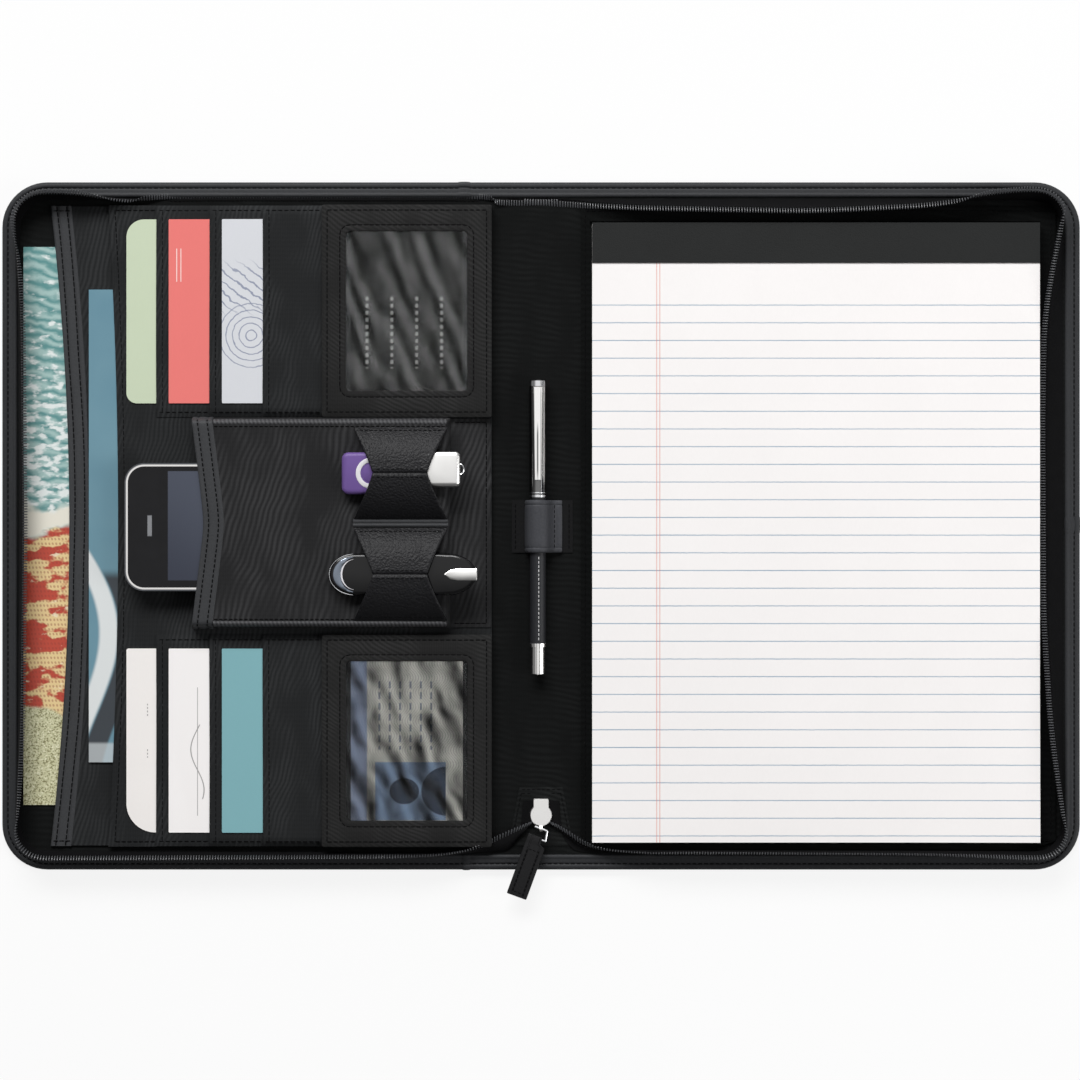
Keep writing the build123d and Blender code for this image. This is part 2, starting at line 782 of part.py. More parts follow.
with BuildPart() as pen_ferrule:
    with BuildSketch(pen_axis.offset(tail_start)):
        Circle(barrel_radius + 0.35)
    extrude(amount=ferrule_lip)
    with BuildSketch(pen_axis.offset(tail_start + ferrule_lip)):
        Circle(barrel_radius - 0.3)
    extrude(amount=ferrule_length - ferrule_lip)
    chamfer(pen_ferrule.edges().group_by(Axis.Y)[0], 0.4)
finish(pen_ferrule, "pen_ferrule")

with BuildPart() as pen_cap:
    with BuildSketch(pen_axis):
        Circle(cap_radius)
    extrude(amount=cap_length)
    chamfer(pen_cap.edges().group_by(Axis.Y)[-1], 0.6)
    with BuildSketch(pen_axis.offset(cap_length - grip_length - 2)):
        Circle(grip_radius + 0.5)
    extrude(amount=grip_length + 3, mode=Mode.SUBTRACT)
finish(pen_cap, "pen_cap")

with BuildPart() as pen_clip:
    clip_x = (pen_x - clip_width / 2, pen_x + clip_width / 2)
    clip_top = pen_top_y - 3.4
    clip_z = pen_z + cap_radius + 0.35
    clip_low = clip_top - clip_length
    tip_x = (pen_x - clip_end / 2, pen_x + clip_end / 2)
    with BuildSketch(Plane.XY.offset(clip_z)):
        with BuildLine():
            top = ((clip_x[0], clip_top), (clip_x[1], clip_top))
            Polyline(*top, (tip_x[1], clip_low), (tip_x[0], clip_low), close=True)
        make_face()
    extrude(amount=0.7)
    chamfer(pen_clip.faces().sort_by(Axis.Z)[-1].edges(), 0.3)
    block(*clip_x, clip_top - 3.0, clip_top, pen_z + cap_radius - 0.9, clip_z + 0.1)
    with BuildSketch(pen_axis):
        Circle(cap_radius + 0.02)
    extrude(amount=cap_length, mode=Mode.SUBTRACT)
finish(pen_clip, "pen_clip")

with BuildPart() as pen_loop:
    loop_high = pen_top_y - cap_length - 1
    loop_low = loop_high - pen_loop_length
    inner = barrel_radius + pen_loop_clear
    outer = inner + pen_loop_thick
    block(-spine_in, spine_in, loop_low - 1.2, loop_high + 0.8, floor_z, floor_z + 0.6)
    flap = (pen_x + outer - 1.2, pen_x + outer + 5.2)
    block(*flap, loop_low, loop_high, floor_z + 0.5, floor_z + 1.4)
    with BuildSketch(Plane.XZ.offset(-loop_high)):
        with Locations((pen_x, pen_z)):
            Circle(outer)
        rectangle_between(pen_x - outer, pen_x + outer, floor_z + 0.5, pen_z)
    extrude(amount=pen_loop_length)
    with BuildSketch(Plane.XZ.offset(-loop_high - 5)):
        with Locations((pen_x, pen_z)):
            Circle(inner)
        rectangle_between(pen_x - inner, pen_x + inner, pen_z - 3.4, pen_z)
    extrude(amount=pen_loop_length + 10, mode=Mode.SUBTRACT)
finish(pen_loop, "pen_loop")
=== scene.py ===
"""A zippered padfolio lying open: soft case, zip, pockets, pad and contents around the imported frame."""
from math import cos, pi, radians, sin, sqrt

import bmesh
import bpy
import numpy as np
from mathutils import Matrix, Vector


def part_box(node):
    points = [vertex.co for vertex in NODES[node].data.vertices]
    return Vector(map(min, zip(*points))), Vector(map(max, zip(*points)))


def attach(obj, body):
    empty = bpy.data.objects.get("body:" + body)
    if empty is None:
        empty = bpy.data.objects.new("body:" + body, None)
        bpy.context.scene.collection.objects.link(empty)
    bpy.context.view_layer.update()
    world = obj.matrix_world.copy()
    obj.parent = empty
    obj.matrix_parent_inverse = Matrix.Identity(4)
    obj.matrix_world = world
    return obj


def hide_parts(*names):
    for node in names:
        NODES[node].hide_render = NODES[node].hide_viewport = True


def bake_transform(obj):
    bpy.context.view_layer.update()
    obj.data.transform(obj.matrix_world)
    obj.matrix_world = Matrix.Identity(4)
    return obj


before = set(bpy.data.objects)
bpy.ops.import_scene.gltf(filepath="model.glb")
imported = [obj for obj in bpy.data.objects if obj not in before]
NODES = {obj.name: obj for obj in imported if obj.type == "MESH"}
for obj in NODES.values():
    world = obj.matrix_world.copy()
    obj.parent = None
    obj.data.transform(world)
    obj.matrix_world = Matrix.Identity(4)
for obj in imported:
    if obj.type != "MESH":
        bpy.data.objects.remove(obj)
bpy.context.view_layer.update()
scene = bpy.context.scene
FRONT, BACK = -1, 1
COVER = {FRONT: "front_cover", BACK: "back_cover"}
SIDE_NAME = {FRONT: "front", BACK: "back"}

# Sizes in millimetres, as in the frame
EDGE_X, HALF_Y, CORNER = 261.0, 166.5, 22.0
FOLD_NEAR, FOLD_FAR = 10.0, 22.0
DENSE_X = 26.0  # grids are one millimetre fine from the middle of the spine to here
ORG_RIGHT, ORG_HIGH = -23.8, 155.0
BLOCK_INNER = 52.4


# Materials: plain arithmetic on node values
def add_node(tree, kind, *inputs, **settings):
    """First output of a new node; inputs are sockets to link, values to set, or None for those left alone."""
    node = tree.nodes.new("ShaderNode" + kind)
    for key, value in settings.items():
        setattr(node, key, value)
    for slot, value in zip(node.inputs, inputs):
        if isinstance(value, bpy.types.NodeSocket):
            tree.links.new(value, slot)
        elif value is not None:
            slot.default_value = value
    return node.outputs[0]


def smooth_range(tree, value, low, high, at_low, at_high):
    return add_node(tree, "MapRange", value, low, high, at_low, at_high, interpolation_type="SMOOTHSTEP")


class Val:
    def __init__(self, paint, socket):
        self.paint, self.socket = paint, socket

    def math(self, operation, *others):
        values = [v.socket if isinstance(v, Val) else v for v in (self, *others)]
        return Val(self.paint, add_node(self.paint.tree, "Math", *values, operation=operation))

    def __add__(self, other):
        return self.math("ADD", other)

    def __sub__(self, other):
        return self.math("SUBTRACT", other)

    def __mul__(self, other):
        return self.math("MULTIPLY", other)

    def square(self):
        return self.math("POWER", 2.0)

    def capped(self):
        return self.math("MINIMUM", 1.0)

    def wave(self, pitch):
        """0 to 1 and back once in each pitch."""
        return (self * (2 * pi / pitch)).math("SINE") * 0.5 + 0.5

    def step(self, low, high):
        """0 below low, 1 above high, smooth between; falling where low is above high."""
        ends = (low, high, 0.0, 1.0) if low < high else (high, low, 1.0, 0.0)
        return Val(self.paint, smooth_range(self.paint.tree, self.socket, *ends))

    def band(self, low, high, soft=0.15):
        """1 between low and high."""
        return self.step(low - soft, low + soft) * self.step(high + soft, high - soft)

    def rule(self, pitch, width, start=0.0):
        """Thin lines one pitch apart, one of them at start."""
        away = ((self - start) * (1 / pitch) + 0.5).math("FRACT") - 0.5
        return (away.math("ABSOLUTE") * pitch).step(width / 2 + 0.12, max(width / 2 - 0.12, 0.0))


class Paint:
    def __init__(self, name, rough=0.5, metal=0.0, **sockets):
        self.mat = bpy.data.materials.new(name)
        self.mat.use_nodes = True
        self.tree = self.mat.node_tree
        self.bsdf = self.tree.nodes["Principled BSDF"]
        for socket, value in {"Roughness": rough, "Metallic": metal, **sockets}.items():
            self.bsdf.inputs[socket.replace("_", " ")].default_value = value
        self.place = self.tree.nodes.new("ShaderNodeTexCoord").outputs["Object"]
        parts = add_node(self.tree, "SeparateXYZ", self.place).node.outputs
        self.x, self.y, self.z = (Val(self, part) * 1000.0 for part in parts)
        self.ground = None

    def noise(self, size, detail=2.0, stretch=(1, 1, 1)):
        """Cloudy value around 0.5 with lumps of that size in millimetres."""
        place = add_node(self.tree, "Mapping", self.place, None, None, [1000.0 / (size * s) for s in stretch])
        return Val(self, add_node(self.tree, "TexNoise", place, None, 1.0, detail))

    def cells(self, size):
        """Pebbles of that size in millimetres."""
        return Val(self, add_node(self.tree, "TexVoronoi", self.place, None, 1000.0 / size, feature="SMOOTH_F1"))

    def mix(self, amount, first, second):
        """The first colour where amount is 0 and the second where it is 1; the node takes them as inputs 6 and 7."""
        colours = [(*c, 1.0) if isinstance(c, tuple) else c for c in (first, second)]
        return add_node(self.tree, "Mix", amount.socket, *[None] * 5, *colours, data_type="RGBA").node.outputs[2]

    def over(self, amount, colour):
        """Prints a colour on the ground laid so far."""
        self.ground = self.mix(amount, self.ground, colour)

    def link(self, name, socket):
        self.tree.links.new(socket, self.bsdf.inputs[name])
        return self

    def colour(self, socket):
        return self.link("Base Color", socket)

    def tones(self, amount, colour, first, second):
        """Coloured by two shades of one colour."""
        return self.colour(self.mix(amount, shade(colour, first), shade(colour, second)))

    def rough(self, value):
        return self.link("Roughness", value.socket)

    def bump(self, height, depth, strength=0.6):
        """Relief of that depth in millimetres."""
        node = add_node(self.tree, "Bump", strength, depth * 0.001).node
        self.tree.links.new(height.socket, node.inputs["Height"])
        return self.link("Normal", node.outputs[0])


def rgb(red, green, blue):
    """Screen colour, 0 to 255, as linear light."""
    return tuple((c / 255 / 12.92) if c <= 10 else ((c / 255 + 0.055) / 1.055) ** 2.4 for c in (red, green, blue))


def shade(colour, factor):
    return tuple(min(c * factor, 1.0) for c in colour)


def leather(name, colour, grain=0.9, rough=0.46, gloss=0.12, relief=0.16):
    paint = Paint(name, rough, Specular_IOR_Level=gloss)
    pebble = paint.cells(grain)
    fine = paint.noise(0.35, 3.0)
    paint.tones(pebble * 0.55 + paint.noise(28.0, 3.0) * 0.45, colour, 1.25, 0.75)
    paint.rough(fine * 0.18 + (rough - 0.06))
    return paint.bump(pebble * -0.8 + fine * 0.25, relief, 0.55)


def nylon(name, colour, lean, band, strength, rib=0.62):
    """Fine ribs along X, with the slanted bands that such a weave shows."""
    paint = Paint(name, 0.6, Specular_IOR_Level=0.03)
    drift = paint.noise(34.0)
    ribs = (paint.y + drift * 0.3).wave(rib)
    cross = paint.x.wave(rib * 1.35)
    bands = (paint.x * lean[0] + paint.y * lean[1] + drift * 11.0).wave(band)
    patchy = paint.noise(17.0, 2.0, (1, 2, 1)).step(0.32, 0.64)
    paint.tones(ribs * 0.25 + cross * 0.1 + bands * patchy * strength, colour, 0.6, 2.1)
    return paint.bump(ribs * 0.7 + cross * 0.3 + bands * 0.4, 0.09)


def woven(name, colour, pitch):
    paint = Paint(name, 0.7, Specular_IOR_Level=0.05)
    weave = (paint.x + paint.y).wave(pitch) * 0.5 + (paint.x - paint.y + paint.z).wave(pitch) * 0.5
    paint.tones(weave * 0.6 + paint.noise(6.0) * 0.4, colour, 0.6, 1.5)
    return paint.bump(weave, 0.12, 0.7)


def metal(name, colour, rough, brushed=(1, 1, 1), relief=0.008):
    paint = Paint(name, rough, 1.0)
    scratch = paint.noise(0.5, 3.0, brushed)
    paint.tones(paint.noise(12.0), colour, 0.92, 1.06)
    paint.rough(scratch * 0.14 + (rough - 0.06))
    return paint.bump(scratch, relief, 0.25)


def plastic(name, colour, rough=0.3, gloss=0.5):
    paint = Paint(name, rough, Specular_IOR_Level=gloss)
    fine = paint.noise(0.6, 3.0)
    paint.tones(paint.noise(15.0), colour, 0.9, 1.1)
    paint.rough(fine * 0.12 + (rough - 0.05))
    return paint.bump(fine, 0.02, 0.3)


def paper(name, colour):
    """A card or sheet with faint fibres as its ground, on which more can be printed."""
    paint = Paint(name, 0.6, Specular_IOR_Level=0.3)
    fibre = paint.noise(0.8, 4.0, (1, 2.5, 1))
    paint.ground = paint.mix(fibre * 0.5 + paint.noise(22.0) * 0.5, shade(colour, 0.96), shade(colour, 1.03))
    return paint.bump(fibre, 0.02, 0.3)


LEATHER = leather("leatherette", rgb(50, 51, 53))
LEATHER_TRIM = leather("leatherette_trim", rgb(60, 61, 63), 0.8)
LEATHER_LOOP = leather("leatherette_loop", rgb(66, 67, 71), 1.0)
LEATHER_BASE = leather("leatherette_base", rgb(21, 21, 22), 0.9, 0.5, 0.08)
LEATHER_STRAP = leather("leatherette_strap", rgb(24, 24, 26), 0.95, 0.42, 0.18, 0.75)
LEATHER_PULL = leather("leatherette_pull", rgb(32, 32, 33), 0.8, 0.46, 0.08)
LEATHER_OUT = leather("leatherette_outside", rgb(40, 41, 43), 1.7, relief=0.5)
LINING = nylon("lining_nylon", rgb(21, 22, 22), (0.12, 0.99), 3.0, 0.3)
PANEL = nylon("panel_nylon", rgb(41, 42, 43), (0.96, -0.27), 2.1, 0.4)
POCKET = nylon("pocket_nylon", rgb(43, 43, 44), (0.95, -0.3), 2.7, 0.62)
FRAME_CLOTH = nylon("window_nylon", rgb(41, 41, 41), (0.5, 0.86), 1.9, 0.35)
TAB_CLOTH = nylon("zip_end_nylon", rgb(26, 27, 27), (0.1, 0.99), 2.4, 0.5)
# the pad pocket's nylon is darker than the lining: painted shade from the standing zip tape
SHADED_PAD_CLOTH = nylon("pad_pocket_nylon_painted_shade", rgb(14, 15, 15), (0.1, 0.99), 3.1, 0.3)
TAPE = woven("zip_tape_weave", rgb(15, 15, 16), 0.7)
TOOTH = plastic("zip_coil", rgb(72, 73, 76), 0.26, 0.4)
WELT = Paint("corded_welt", 0.5, Specular_IOR_Level=0.12)
cord = (WELT.x + WELT.y * 0.3).wave(1.95)
WELT.colour(WELT.mix(cord * 0.7 + WELT.noise(9.0) * 0.3, rgb(50, 50, 52), rgb(86, 86, 88)))
WELT.bump(cord, 0.2)
THREAD_DARK = woven("thread_dark", rgb(13, 13, 14), 0.4)
THREAD_WHITE = woven("thread_white", rgb(215, 216, 216), 0.4)
CHROME = metal("chrome", rgb(226, 227, 229), 0.14)
SILVER = metal("silver_sheet", rgb(238, 237, 235), 0.3, (1, 14, 1), 0.002)


# Meshes, in millimetres
def piece(name, verts, faces, paint, body, nodes, sharp=35):
    """A mesh in place of those nodes. It rides a body; given a side of the case, it stays where it is with its
    transform baked in.
    """
    mesh = bpy.data.meshes.new(name)
    mesh.from_pydata((np.asarray(verts, float) * 0.001).tolist(), [], [list(map(int, f)) for f in faces])
    work = bmesh.new()
    work.from_mesh(mesh)
    bmesh.ops.recalc_face_normals(work, faces=work.faces)
    work.to_mesh(mesh)
    work.free()
    mesh.materials.append(paint.mat)
    mesh.shade_smooth()
    mesh.set_sharp_from_angle(angle=radians(sharp))
    obj = bpy.data.objects.new(name, mesh)
    scene.collection.objects.link(obj)
    if nodes:
        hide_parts(*nodes)
    if body in COVER:
        near, far = ((body * x * 0.001, 0, 0.001) for x in (FOLD_NEAR, FOLD_FAR))
        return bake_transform(obj)
    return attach(obj, body)


def slab(name, top, under, paint, body, *nodes, keep=None):
    """A closed sheet between two grids of points; keep says which of its squares exist."""
    rows, cols = top.shape[:2]
    count = rows * cols
    upper = []
    for i in range(rows - 1):
        for j in range(cols - 1):
            if keep is None or keep[i, j]:
                a = i * cols + j
                upper.append((a, a + 1, a + cols + 1, a + cols))
    edges = {pair: True for face in upper for pair in zip(face, face[1:] + face[:1])}
    walls = [(b, a, a + count, b + count) for a, b in edges if (b, a) not in edges]
    lower = [tuple(v + count for v in reversed(f)) for f in upper]
    verts = np.concatenate([top.reshape(-1, 3), under.reshape(-1, 3)])
    used = np.unique(upper + lower)
    place = np.full(2 * count, -1)
    place[used] = np.arange(len(used))
    return piece(name, verts[used], [place[list(f)] for f in upper + lower + walls], paint, body, nodes)


def tube_faces(count, size, loop=False):
    """Faces of a tube through rings of points; loop joins the last ring to the first."""
    faces = []
    for i in range(count if loop else count - 1):
        k = (i + 1) % count
        for j in range(size):
            n = (j + 1) % size
            faces.append((i * size + j, i * size + n, k * size + n, k * size + j))
    if not loop:
        faces += [tuple(range(size)), tuple(range(count * size - 1, (count - 1) * size - 1, -1))]
    return faces


def sweep(name, rings, paint, body, *nodes, sharp=35, loop=False):
    rings = np.asarray(rings, float)
    return piece(name, rings.reshape(-1, 3), tube_faces(*rings.shape[:2], loop), paint, body, nodes, sharp)


def unit(vectors):
    return vectors / np.linalg.norm(vectors, axis=-1, keepdims=True)


BEAD = ((-0.5, 0.45), (-0.36, 0.9), (0.36, 0.9), (0.5, 0.45))  # share of the length, and how full it is there
BEAD_SIDES = 6


def beads(name, centres, along, up, size, paint, body, *nodes):
    """Many small rounded bars in one mesh: stitches and zip teeth. Size is length, width, height."""
    along = unit(along)
    across = unit(np.cross(up, along))
    up = np.cross(along, across)
    long, wide, high = size
    verts = []
    for t, r in BEAD:
        for a in np.arange(BEAD_SIDES) * 2 * pi / BEAD_SIDES:
            offset = along * (t * long) + across * (r * cos(a) * wide / 2) + up * (r * sin(a) * high / 2)
            verts.append(centres + offset)
    verts = np.stack(verts, axis=1)
    one = tube_faces(len(BEAD), BEAD_SIDES)
    faces = [tuple(v + n * verts.shape[1] for v in f) for n in range(len(centres)) for f in one]
    return piece(name, verts.reshape(-1, 3), faces, paint, body, nodes, 60)


def travel(points):
    """Distance gone along a line at each of its points."""
    return np.concatenate([[0], np.cumsum(np.linalg.norm(np.diff(points, axis=0), axis=1))])


def smooth(values, reach):
    """Running mean over so many values to each side."""
    count = 2 * reach + 1
    return np.convolve(np.pad(values, reach, "edge"), np.ones(count) / count, "valid")


def resample(points, pitch):
    """Points one pitch apart along a line, with the line's direction at each."""
    points = np.asarray(points, float)
    run = travel(points)
    count = max(int(run[-1] / pitch), 1)
    at = (np.arange(count) + 0.5) * run[-1] / count
    behind, made, ahead = (
        np.stack([np.interp(at + shift, run, line) for line in points.T], axis=1) for shift in (-0.3, 0, 0.3)
    )
    return made, ahead - behind


def given(condition, node):
    return [node] if condition else []


FINE_STITCH = (1.7, 0.5, 0.35)


def stitch(name, lines, body, pitch=2.8, size=(2.1, 0.55, 0.4), paint=THREAD_DARK, up=(0, 0, 1)):
    """Rows of stitches along lines of points."""
    centres, along = (np.concatenate(part) for part in zip(*(resample(line, pitch) for line in lines)))
    beads(name, centres, along, np.tile(np.asarray(up, float), (len(centres), 1)), size, paint, body)


def at_height(points, z):
    return np.column_stack([points, np.full(len(points), z)])


def flat_grid(xs, ys):
    """A grid of points over X and Y at height 0."""
    grid = np.zeros((len(ys), len(xs), 3))
    grid[:, :, 0] = xs
    grid[:, :, 1] = ys[:, None]
    return grid


def with_z(grid, z):
    made = grid.copy()
    made[:, :, 2] = z
    return made


def box_mm(node):
    """Low and high corners of a solid."""
    return [np.array(corner) * 1000 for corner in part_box(node)]


def outline(side, inset, start=0.0, step=4.0):
    """Points round one cover from the top of the spine to its foot, and the direction out of the cover."""
    radius = CORNER - inset
    middle_x, middle_y = EDGE_X - CORNER, HALF_Y - CORNER
    sparse = np.linspace(DENSE_X, middle_x, int((middle_x - DENSE_X) / step))
    run = np.concatenate([np.arange(start, DENSE_X, 1.0), sparse])
    down = np.linspace(middle_y, -middle_y, int(2 * middle_y / step))[1:]
    turn = np.linspace(pi / 2, 0, 14)
    upper = [(cos(a), sin(a)) for a in turn[1:]]
    lower = [(cos(a), -sin(a)) for a in turn[::-1][1:]]
    points = [(x, HALF_Y - inset) for x in run]
    points += [(middle_x + radius * c, middle_y + radius * s) for c, s in upper]
    points += [(EDGE_X - inset, y) for y in down]
    points += [(middle_x + radius * c, -middle_y + radius * s) for c, s in lower]
    points += [(x, inset - HALF_Y) for x in run[::-1][1:]]
    ways = [(0.0, 1.0)] * len(run) + upper + [(1.0, 0.0)] * len(down) + lower + [(0.0, -1.0)] * (len(run) - 1)
    return np.array(points) * (side, 1), np.array(ways) * (side, 1)


def cover_grid(side, inset):
    """A grid over one cover and its half of the spine, with the cover's rounded corners."""
    radius = CORNER - inset
    turn = EDGE_X - inset - radius
    bend = turn + radius * np.sin(np.linspace(0, pi / 2, 10))
    xs = np.concatenate([np.arange(0.0, DENSE_X, 1.0), np.linspace(DENSE_X, turn, 36), bend[1:]])
    away = np.clip((xs - turn) / radius, 0, 1)
    grid = flat_grid(side * xs, np.linspace(-1, 1, 40))
    grid[:, :, 1] *= HALF_Y - CORNER + radius * np.sqrt(1 - away**2)
    return grid


# The case: outer skin, lining, turned and stitched edge
CREASE_X = 16
EDGE_SEAM = 2.95  # how far in from the edge its stitches run
# section of the turned edge: distance in from the cover's edge, and height
EDGE = (
    (6.0, 0.0), (3.5, 0.0), (3.2, 0.18), (2.8, 0.18), (2.5, 0.0), (1.0, 0.05), (0.3, 0.45), (0.0, 1.2),
    (0.05, 2.0), (0.45, 2.75), (1.2, 3.15), (2.0, 3.25), (2.5, 3.1), (2.8, 2.8), (3.1, 2.8), (3.4, 3.1),
    (3.9, 3.25), (4.9, 3.25), (5.3, 3.3), (5.6, 3.42), (6.0, 3.6), (6.5, 3.65), (7.0, 3.45), (7.4, 3.0),
    (7.5, 2.4), (7.3, 1.6), (6.4, 1.2),
)
for side, name in SIDE_NAME.items():
    grid = cover_grid(side, 6.0)
    crease = 0.45 * np.exp(-(((np.abs(grid[:, :, 0]) - CREASE_X) / 1.5) ** 2))
    skin = slab(
        f"{name}_outer_skin", with_z(grid, 1.0), with_z(grid, crease), LEATHER_OUT,
        side, f"{name}_skin", *given(side == BACK, "spine_skin"),
    )

    grid = cover_grid(side, 7.0)
    gutter = np.exp(-((np.abs(grid[:, :, 0]) / 17) ** 6))
    ripple = 0.10 * gutter * np.sin(grid[:, :, 0] * 0.7 + np.sin(grid[:, :, 1] * 0.05) * 1.5)
    lining = slab(
        f"{name}_inner_lining", with_z(grid, 2.72 + ripple), with_z(grid, 2.4), LINING,
        side, f"{name}_lining", *given(side == BACK, "spine_lining"),
    )

    rings = [[(*(p - w * u), z) for u, z in EDGE] for p, w in zip(*outline(side, 0.0))]
    sweep(f"{name}_turned_edge", rings, LEATHER, side, f"{name}_binding", *given(side == BACK, "spine_binding"))
    row, _ = outline(side, EDGE_SEAM)
    stitch(f"{name}_edge_stitches", [at_height(row, z) for z in (2.9, 0.14)], side, 2.8, (1.9, 0.6, 0.45))

# Laps where the edge strip's ends overlap
LAPS = ((FRONT, "top", -40.0, -34.4), (FRONT, "foot", -38.0, -34.4), (BACK, "side", -3.4, 4.4))
for side, where, low, high in LAPS:
    rings = []
    for t in np.linspace(low, high, 7):
        swell = 0.32 * sqrt(max(1 - ((t - (low + high) / 2) / ((high - low) / 2 + 0.4)) ** 2, 0))
        ring = []
        for u, z in EDGE:
            u, z = u - swell * (1 if u < 6.5 else -0.3), z + swell * (0.9 if z > 2 else 0.1)
            spot = {"top": (t, HALF_Y - u), "foot": (t, u - HALF_Y), "side": (EDGE_X - u, t)}[where]
            ring.append((*spot, z))
        rings.append(ring)
    sweep(f"edge_lap_{where}", rings, LEATHER, COVER[side])

# The zip: a tape on each cover that leans in or stands up, its coil, and the end on the spine
TAPE_INSET, TAPE_FOOT_Z, TAPE_HALF = 8.6, 2.7, 0.25
TAPE_START, TAPE_STOP = -9.0, 745  # along the cover's edge, from the top of the spine
TUCKED_Z = 2.6
END_POINTS = 60
TOOTH_PITCH, TOOTH_SIZE = 1.85, (2.8, 0.74, 1.15)
# distance along the tape from the top of the spine, and how far in from the cover's edge its coil stands
COIL_INSET = {
    FRONT: ((-9, 8.6), (10, 9.4), (20, 9.2), (34, 7.4), (178, 7.4), (192, 8.8), (204, 10.4), (214, 8.0), (224, 6.4),
            (252, 6.4), (265, 8.4), (300, 11.2), (405, 12.2), (500, 11.2), (549, 8.8), (560, 7.2), (575, 7.4),
            (640, 7.6), (745, 8.0)),
    BACK: ((-9, 8.4), (30, 11.3), (53, 13.0), (130, 14.2), (190, 11.6), (212, 7.6), (230, 5.0), (245, 5.6),
           (254, 8.4), (264, 11.0), (282, 14.3), (306, 17.6), (354, 18.2), (450, 17.8), (500, 15.0), (525, 12.0),
           (549, 8.6), (560, 7.2), (575, 7.6), (620, 8.6), (745, 9.0)),
}
# how far the tape stands out of its seam: low over the spine and where the front cover's head tucks it in
COIL_REACH = {
    FRONT: ((-9, 12, 30, 180, 196, 206, 218), (0.3, 0.4, 1.5, 1.5, 2.5, 5.0, 10.9)),
    BACK: ((-9, 12, 30, 60), (0.3, 0.4, 4.6, 10.9)),
}
# the coil and the tape's sewn edge from the foot of the cover to the slider
COIL_END = {
    FRONT: ((-56, -158.6, 13.2), (-45, -158.0, 10.8), (-34.4, -156.6, 8.0), (-27, -154.4, 6.2), (-19.9, -151.2, 5.2),
            (-14, -148.5, 4.9), (-9.5, -146.4, 4.8), (-5, -144.0, 4.75), (-2.0, -141.0, 4.75), (-1.5, -132.0, 4.75)),
    BACK: ((56, -157.6, 13.2), (45, -157.2, 10.8), (34, -156.8, 8.0), (26, -155.8, 6.2), (19.5, -153.4, 5.2),
           (14, -149.6, 4.9), (9.2, -146.4, 4.8), (5, -144.0, 4.75), (2.0, -141.0, 4.75), (1.5, -132.0, 4.75)),
}
TAPE_END = ((56, -158, 2.9), (45, -158, 2.9), (34, -158, 2.9), (27, -158, 2.9), (20, -157.8, 3.0), (15.5, -156.5, 3.1),
            (12.5, -153, 3.2), (10.6, -149, 3.3), (9.4, -143, 3.35), (8.8, -132, 3.35))


def spread(keys):
    """The key points as a line of END_POINTS points."""
    mark = np.linspace(0, 1, len(keys))
    return np.column_stack([np.interp(np.linspace(0, 1, END_POINTS), mark, k) for k in np.array(keys).T])


for side, name in SIDE_NAME.items():
    path, way = outline(side, TAPE_INSET, TAPE_START, 3.0)
    run = travel(path) + TAPE_START
    last = np.argmax(run > TAPE_STOP)
    path, way, run = path[:last], way[:last], run[:last]
    lean = smooth(np.interp(run, *np.array(COIL_INSET[side]).T), 4) - TAPE_INSET
    width = np.interp(run, *COIL_REACH[side])
    tucked = np.interp(run, (20, 34, 178, 192), (0, 1, 1, 0)) * (side == FRONT)
    stand = np.interp(run, (10, 24), (2.5, 2.9)) + np.sqrt(np.maximum(width**2 - lean**2, 0.04))
    coil = np.column_stack([path - way * lean[:, None], stand * (1 - tucked) + TUCKED_Z * tucked])
    coil = np.concatenate([coil, spread(COIL_END[side])])
    foot = np.concatenate([at_height(path, TAPE_FOOT_Z), spread(TAPE_END) * (side, 1, 1)])
    # the teeth turn inwards where the tape leans or lies flat, and outwards under the tucked head
    nod = 1.4 * np.clip(lean / 1.6, -1, 1) + np.interp(run, (10, 26), (9.0, 0.0)) - 9.0 * tucked
    tilt = np.zeros_like(coil)
    tilt[: len(path), :2] = -way * nod[:, None]
    for line in (coil, foot, tilt):
        for k in range(3):
            line[:, k] = smooth(line[:, k], 2)
    outward = unit(np.cross(unit(np.gradient(coil, axis=0)), coil - foot))
    parts = np.linspace(0, 1, 6)[:, None, None]
    swell = np.clip(np.linalg.norm(coil - foot, axis=1) / 8, 0.05, 1)
    middle = foot * (1 - parts) + coil * parts + 0.9 * np.sin(parts * pi) * (outward * swell[:, None])
    tape = slab(
        f"{name}_tape", middle + outward * TAPE_HALF, middle - outward * TAPE_HALF, TAPE,
        side, f"{name}_zip_tape", *given(side == BACK, "zip_head"),
    )

    spots, ahead = resample(np.column_stack([coil, foot, tilt]), TOOTH_PITCH)
    teeth, rooted, tilted = spots[:, :3], spots[:, 3:6], spots[:, 6:]
    upward = unit(teeth - rooted)
    nod = unit(upward + tilted)
    face = np.cross(ahead[:, :3], nod)
    beads(
        f"{name}_coil", teeth + nod * 0.9, nod, face, TOOTH_SIZE, TOOTH,
        side, f"{name}_zip_teeth", *given(side == BACK, "zip_tail"),
    )
    rows = [teeth - upward * 1.5 + unit(face) * s for s in (0.4, -0.4)]
    stitch(f"{name}_coil_stitches", rows, side, 2.0, (1.5, 0.4, 0.4))

